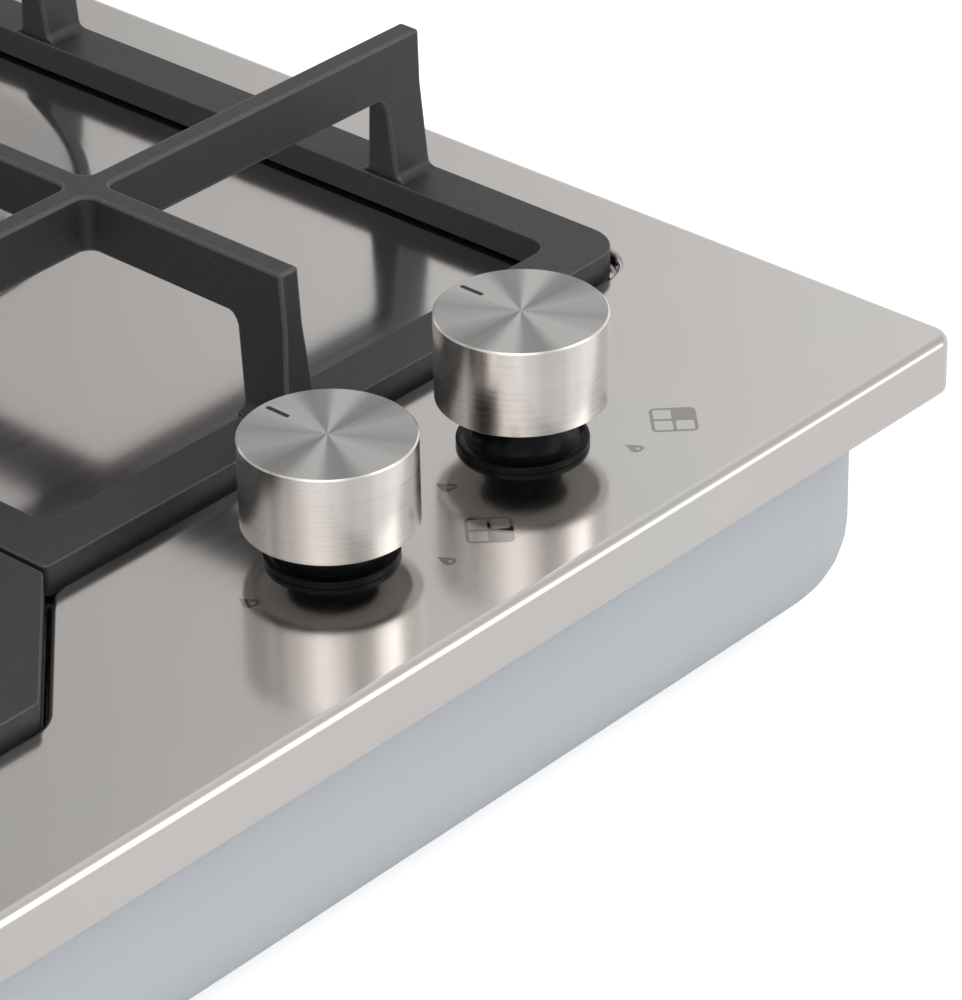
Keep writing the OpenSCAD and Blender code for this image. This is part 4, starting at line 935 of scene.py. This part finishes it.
class OBJECT_OT_cooktop_burners(CooktopOperator, bpy.types.Operator):
    """Burner caps, spreaders, cups, electrodes and probes"""

    bl_idname = "object.cooktop_burners"
    bl_label = "Burners"

    def execute(self, context):
        b, d = context.scene.cooktop_burners, context.scene.cooktop_deck
        dish_level = (d.top - d.recess_drop - d.dish_drop) / MM
        posts, probes = Surface(), Surface()
        for place, (x, y), spreader in zip(PLACES, burner_places(b), b.spreaders):
            r, h = (spreader + b.cap_overhang) / MM, b.cap_thickness / MM
            cap = Surface()
            cap.lathe(self.cap(r, h, spreader / MM - STEP_INSET), (x, y, b.cap_bottom / MM), 160)
            o = cap.build("enamel_cap_" + place, [material("cap_enamel")], 50)
            finished(even_normals(o), "cap_" + place, "cap_enamel", "burner_cap_" + place)
            copied("flame_spreader_" + place, "spreader_ring_" + place, "spreader_" + place, "burner_alloy")
            copied("burner_cup_" + place, "cup_casting_" + place, "root", "burner_alloy")
            post = (spreader + b.post) / MM
            at = (*beside(x, y, post, ELECTRODE), dish_level)
            posts.lathe(softened(*CERAMIC_POST), at, 32)
            posts.lathe(softened(*SPARK_WIRE), at, 24, 1)
            probes.lathe(softened(*PROBE_TIP), (*beside(x, y, post, PROBE), dish_level), 32)
        o = posts.build("ceramic_posts", [material("ceramic"), material("zinc_steel")], 50)
        finished(even_normals(o), "root", "ceramic", "spark_electrodes")
        o = probes.build("probe_tips", [material("zinc_steel")], 50)
        finished(even_normals(o), "root", "zinc_steel", "thermocouples")
        copied("cup_screws", "screw_heads", "root", "zinc_steel")
        return {"FINISHED"}

    @staticmethod
    def cap(r, h, inside):
        """Profile of a cap. Its crown falls by 1.25 t to the power 2.4, with t from 0 to 1 at its edge."""
        t = np.linspace(0, 1, 14)
        crown = np.stack([(r - 1.2) * t, h - 1.25 * t ** 2.4], -1)
        edge = softened([tuple(crown[-1]), (r, h - 2.0), (r - 0.4, 0.4), (r - 0.9, 0), (inside, 0),
                         (inside, -2), (0, -2)], [0, 1.1, 0.5, 0.3, 0.3, 0.4, 0], 5)
        return np.concatenate([crown[:-1], edge])


# The gas inlet's place in metres, and its sizes along its own axis in millimetres
INLET_PLACE = (0.228, 0.2092, 0.024)
HEXAGON, SHANK, BORE = 16, 12, 6
THREAD_RADIUS, THREAD_START, THREAD_END, THREAD_PITCH, THREAD_DEPTH = 10.48, 27.8, 41.8, 1.814, 1.16


class OBJECT_OT_cooktop_inlet(CooktopOperator, bpy.types.Operator):
    """Gas inlet with its hexagon, shank and cut thread, and the small pieces on the pan"""

    bl_idname = "object.cooktop_inlet"
    bl_label = "Gas inlet"

    def execute(self, context):
        inlet = Surface()
        hexagon = circle(0, 0, HEXAGON, 6)
        ends = ((0.45, 0), (0.93, 0), (1, 1.1), (1, 20.9), (0.93, 22), (0.6, 22))
        inlet.strip([raised(hexagon * s, z) for s, z in ends])
        ring = circle(0, 0, 1, 96)
        shank = ((10, 21.9), (SHANK, 21.9), (SHANK, THREAD_START), (9.4, THREAD_START))
        inlet.strip([raised(ring * r, z) for r, z in shank])
        thread = self.thread()
        inlet.strip(thread)
        end = float(thread[-1, 0, 2]) + 0.1
        inlet.strip([thread[-1], raised(ring * 8.6, end), raised(ring * BORE, end), raised(ring * BORE, 2)])
        o = inlet.build("threaded_inlet", [material("brass")], 38)
        towards_rear = Matrix.Rotation(math.radians(-90), 4, "X")
        o.data.transform(Matrix.Translation(INLET_PLACE) @ towards_rear)
        finished(o, "root", "brass", "gas_inlet")
        for node, name, slot in (
                ("inlet_nut", "lock_nut", "brass"), ("cable_gland", "lead_gland", "seal_rubber"),
                ("pan_screws", "pan_screw_heads", "zinc_steel"), ("worktop_gasket", "foam_strip", "foam")):
            copied(node, name, "root", slot)
        return {"FINISHED"}

    @staticmethod
    def thread():
        """Rows of a thread: the height is its pitch times the turns, and the cut follows turns less angle.

        With f the share of turns less angle, the cut's depth is that of 2.6 |f - 0.5| - 0.3, held between 0
        and 1, and it fades out at the end."""
        turns = np.arange(0, (THREAD_END - THREAD_START) / THREAD_PITCH, 1 / 16)
        a = np.arange(96) / 96
        phase = (turns[:, None] - a[None, :]) % 1.0
        cut = THREAD_DEPTH * np.clip(np.abs(phase - 0.5) * 2.6 - 0.3, 0, 1)
        z = THREAD_START + turns * THREAD_PITCH
        fade = np.clip((THREAD_END - 0.1 - z) / 1.2, 0, 1)[:, None]
        r = THREAD_RADIUS - cut * fade - (1 - fade) * THREAD_DEPTH
        return np.stack([r * np.cos(2 * np.pi * a), r * np.sin(2 * np.pi * a),
                         np.broadcast_to(z[:, None], r.shape)], -1)


# From a knob's axis to its square, and to its two flames with their widths and heights
SQUARE_AT = (27.3, -18.6)
FLAMES = (((13.0, -19.6), 3.1, 4.4), ((-24.4, 0.0), 3.9, 4.7))


class OBJECT_OT_cooktop_marks(CooktopOperator, bpy.types.Operator):
    """Printed marks: which burner each knob serves, and a small and a large flame"""

    bl_idname = "object.cooktop_marks"
    bl_label = "Marks"

    def execute(self, context):
        k, m, top = context.scene.cooktop_knobs, context.scene.cooktop_marks, context.scene.cooktop_deck.top
        low, high = top / MM - 0.01, (top + m.rise) / MM
        side, stroke = m.side / MM, m.stroke / MM
        cell = (side - 3 * stroke) / 2
        marks = Surface()
        for index, x in enumerate(k.places):
            centre = np.array([x / MM, k.y / MM])
            square, tilt = centre + SQUARE_AT, math.radians(45)
            border = turned(outline(rectangle(side, side), 0, 1.4, 6), tilt) + square
            windows = []
            for filled, corner in enumerate(((-1, -1), (1, -1), (1, 1), (-1, 1))):
                if filled != index:
                    at = np.array(corner) * (cell + stroke) / 2
                    window = outline(rectangle(cell, cell), 0, 0.3, 2) + at
                    windows.append(turned(window, tilt) + square)
            marks.slab(border, low, high, holes=windows)
            for place, wide, tall in FLAMES:
                drop, core = self.flame(wide, tall)
                marks.slab(drop + centre + place, low, high, holes=[core + centre + place])
        o = marks.build("etched_marks", [material("etched_mark")], 40)
        finished(o, "root", None)
        return {"FINISHED"}

    @staticmethod
    def flame(wide, tall):
        """A drop whose tip leans left, and the small drop left clear near its foot.

        With t from 0 to 2 pi round the outline, the half width is sin t (1 - cos t) / 2.6 and the height
        cos t, and the tip leans by 0.08 (1 + cos t) squared."""
        t = np.arange(40) / 40 * 2 * np.pi
        across, up = np.sin(t) * (1 - np.cos(t)) / 2.6, np.cos(t)
        lean = -0.08 * (up + 1) ** 2
        drop = np.stack([(lean * 0.5 - across) * wide, up * 0.5 * tall], -1)
        return drop, drop * 0.3 + (0.05 * wide, -0.2 * tall)


# Levels of the studio's light by azimuth in degrees, above the horizon
STUDIO = (
    (-180, 0.82), (-172, 0.82), (-167, 1.1), (-160, 1.1), (-154, 0.8), (-143, 0.8), (-140, 1.05),
    (-132, 1.05), (-125, 0.75), (-90, 0.75), (-75, 1.5), (-62, 2.0), (-47, 2.0), (-40, 0.7), (-10, 0.6),
    (20, 0.8), (35, 0.85), (48, 0.54), (60, 0.42), (110, 0.34), (128, 0.34), (142, 0.6), (152, 0.8),
    (180, 0.82))
HORIZON, ZENITH, SOFT_BOX = 0.82, 0.8, 1.6
# The heights between which the horizon's level gives way to the bands, and they to the zenith's
HORIZON_FADE, ZENITH_FADE = (0.17, 0.36), (0.65, 0.95)
# The soft box's middle, by azimuth in degrees and by height, and how far from it its sides fade, with
# the outer end first
BOX_AZIMUTH, BOX_HEIGHT = -52.0, 0.12
BOX_ASIDE, BOX_ABOVE = (20, 14), (0.26, 0.20)

# The floor's glow as the camera sees it, and as the object mirrors it
FLOOR_SEEN, FLOOR_MIRRORED = 0.6, 0.07

# The key light's power, size and place, the point that it faces, and the camera's right, up and back
KEY_POWER, KEY_SIZE, KEY_PLACE, KEY_AIM = 9, 2.0, (-1.2, -1.4, 2.4), (0.1, -0.1, 0)
CAMERA_AXES = ((0.6648, -0.7469, -0.0165), (0.3940, 0.3317, 0.8571), (-0.6347, -0.5763, 0.5148))


class OBJECT_OT_cooktop_stage(CooktopOperator, bpy.types.Operator):
    """Pale floor, soft light and the camera"""

    bl_idname = "object.cooktop_stage"
    bl_label = "Stage"

    def execute(self, context):
        s = context.scene.cooktop_stage
        self.floor(s.floor)
        self.world(context.scene)
        context.scene.view_settings.view_transform = "Standard"
        light = bpy.data.lights.new("key", "AREA")
        light.energy, light.size = KEY_POWER, KEY_SIZE
        o = bpy.data.objects.new("key", light)
        o.location = KEY_PLACE
        o.rotation_euler = (Vector(KEY_AIM) - o.location).to_track_quat("-Z", "Y").to_euler()
        context.scene.collection.objects.link(o)
        camera = bpy.data.objects.new("camera", bpy.data.cameras.new("camera"))
        camera.data.lens, camera.data.sensor_width = s.lens, 36
        camera.matrix_world = Matrix.Translation(s.place) @ Matrix(CAMERA_AXES).transposed().to_4x4()
        camera.data.clip_start, camera.data.clip_end = 0.05, 50
        context.scene.collection.objects.link(camera)
        context.scene.camera = camera
        return {"FINISHED"}

    @staticmethod
    def floor(half):
        """White floor, 1 mm under the pan, that keeps a part of the object's shadow."""
        ground, level = Surface(), -1.0
        u = np.linspace(-half / MM, half / MM, 9)
        x, y = np.meshgrid(u, u)
        ground.strip(np.stack([x, y, np.full_like(x, level)], -1), closed=False)
        m, tree, bsdf, where = shader("floor", (0.86, 0.86, 0.86), 0.9, Specular_IOR_Level=0.0)
        tree.links.new(varied(tree, noise(tree, where, 30), 0.85, 0.95), bsdf.inputs["Roughness"])
        path = put(tree, "LightPath").outputs
        mirrored = sums(tree, "MAXIMUM", path["Is Glossy Ray"], path["Is Transmission Ray"])
        faint = sums(tree, "MULTIPLY", mirrored, in1=FLOOR_MIRRORED)
        glow = put(tree, "Math", {0: path["Is Camera Ray"], 2: faint}, operation="MULTIPLY_ADD",
                   in1=FLOOR_SEEN)
        bsdf.inputs["Emission Color"].default_value = (1, 1, 1, 1)
        tree.links.new(glow.outputs[0], bsdf.inputs["Emission Strength"])
        ground.build("floor", [m])

    @staticmethod
    def world(scene):
        """Soft studio: pale at the horizon, bands of light and shade above it, and one low soft box.

        The camera sees it white."""
        world = bpy.data.worlds.new("studio")
        scene.world = world
        world.use_nodes = True
        tree = world.node_tree
        tree.nodes.clear()
        way = put(tree, "SeparateXYZ", {0: put(tree, "TexCoord").outputs["Generated"]}).outputs
        azimuth = sums(tree, "DEGREES", sums(tree, "ARCTAN2", way["Y"], way["X"]))

        def between(source, off, on):
            """0 at off and beyond it, 1 at on and beyond it, smooth in between."""
            return varied(tree, source, 0.0, 1.0, interpolation_type="SMOOTHSTEP",
                          **{"From Min": off, "From Max": on})

        def blend(share, a, b):
            """Level a, or b where share is 1; each is a socket or a number."""
            node = put(tree, "Mix", {0: share}, data_type="FLOAT")
            feed(tree, node.inputs[2], a)
            feed(tree, node.inputs[3], b)
            return node.outputs[0]

        share = varied(tree, azimuth, 0.0, 1.0, **{"From Min": -180, "From Max": 180})
        half = ramp(tree, share, [((a + 180) / 360, level / 2) for a, level in STUDIO], "LINEAR")
        bands = sums(tree, "MULTIPLY", half, in1=2.0)
        level = blend(between(way["Z"], *HORIZON_FADE), HORIZON, bands)
        level = blend(between(way["Z"], *ZENITH_FADE), level, ZENITH)
        aside = sums(tree, "ABSOLUTE", sums(tree, "ADD", azimuth, in1=-BOX_AZIMUTH))
        above = sums(tree, "ABSOLUTE", sums(tree, "ADD", way["Z"], in1=-BOX_HEIGHT))
        box = sums(tree, "MULTIPLY", between(aside, *BOX_ASIDE), between(above, *BOX_ABOVE))
        level = blend(box, level, SOFT_BOX)
        level = blend(put(tree, "LightPath").outputs["Is Camera Ray"], level, 1.0)
        sky = put(tree, "Background", {"Strength": level}, Color=(1, 1, 1, 1))
        tree.links.new(sky.outputs[0], put(tree, "OutputWorld").inputs["Surface"])


PIECES = (
    OBJECT_OT_cooktop_materials, OBJECT_OT_cooktop_deck, OBJECT_OT_cooktop_pan, OBJECT_OT_cooktop_grates,
    OBJECT_OT_cooktop_knobs, OBJECT_OT_cooktop_seals, OBJECT_OT_cooktop_burners, OBJECT_OT_cooktop_inlet,
    OBJECT_OT_cooktop_marks, OBJECT_OT_cooktop_stage)


class VIEW3D_PT_cooktop(bpy.types.Panel):
    """Lists the steps that dress the cooktop"""

    bl_idname = "VIEW3D_PT_cooktop"
    bl_label = "Gas cooktop"
    bl_space_type = "VIEW_3D"
    bl_region_type = "UI"
    bl_category = "Cooktop"

    def draw(self, context):
        for operator in PIECES:
            self.layout.operator(operator.bl_idname)


GROUPS = {"cooktop_deck": CooktopDeck, "cooktop_burners": CooktopBurners, "cooktop_grates": CooktopGrates,
          "cooktop_knobs": CooktopKnobs, "cooktop_marks": CooktopMarks, "cooktop_finishes": CooktopFinishes,
          "cooktop_stage": CooktopStage}


def register():
    """Registers the classes and gives the scene its settings."""
    for name, group in GROUPS.items():
        bpy.utils.register_class(group)
        setattr(bpy.types.Scene, name, PointerProperty(type=group))
    for operator in PIECES:
        bpy.utils.register_class(operator)
    bpy.utils.register_class(VIEW3D_PT_cooktop)


def unregister():
    """Takes back what register did."""
    bpy.utils.unregister_class(VIEW3D_PT_cooktop)
    for operator in reversed(PIECES):
        bpy.utils.unregister_class(operator)
    for name, group in GROUPS.items():
        delattr(bpy.types.Scene, name)
        bpy.utils.unregister_class(group)


def main():
    register()
    for operator in PIECES:
        space, name = operator.bl_idname.split(".")
        getattr(getattr(bpy.ops, space), name)()


if __name__ == "__main__":
    main()
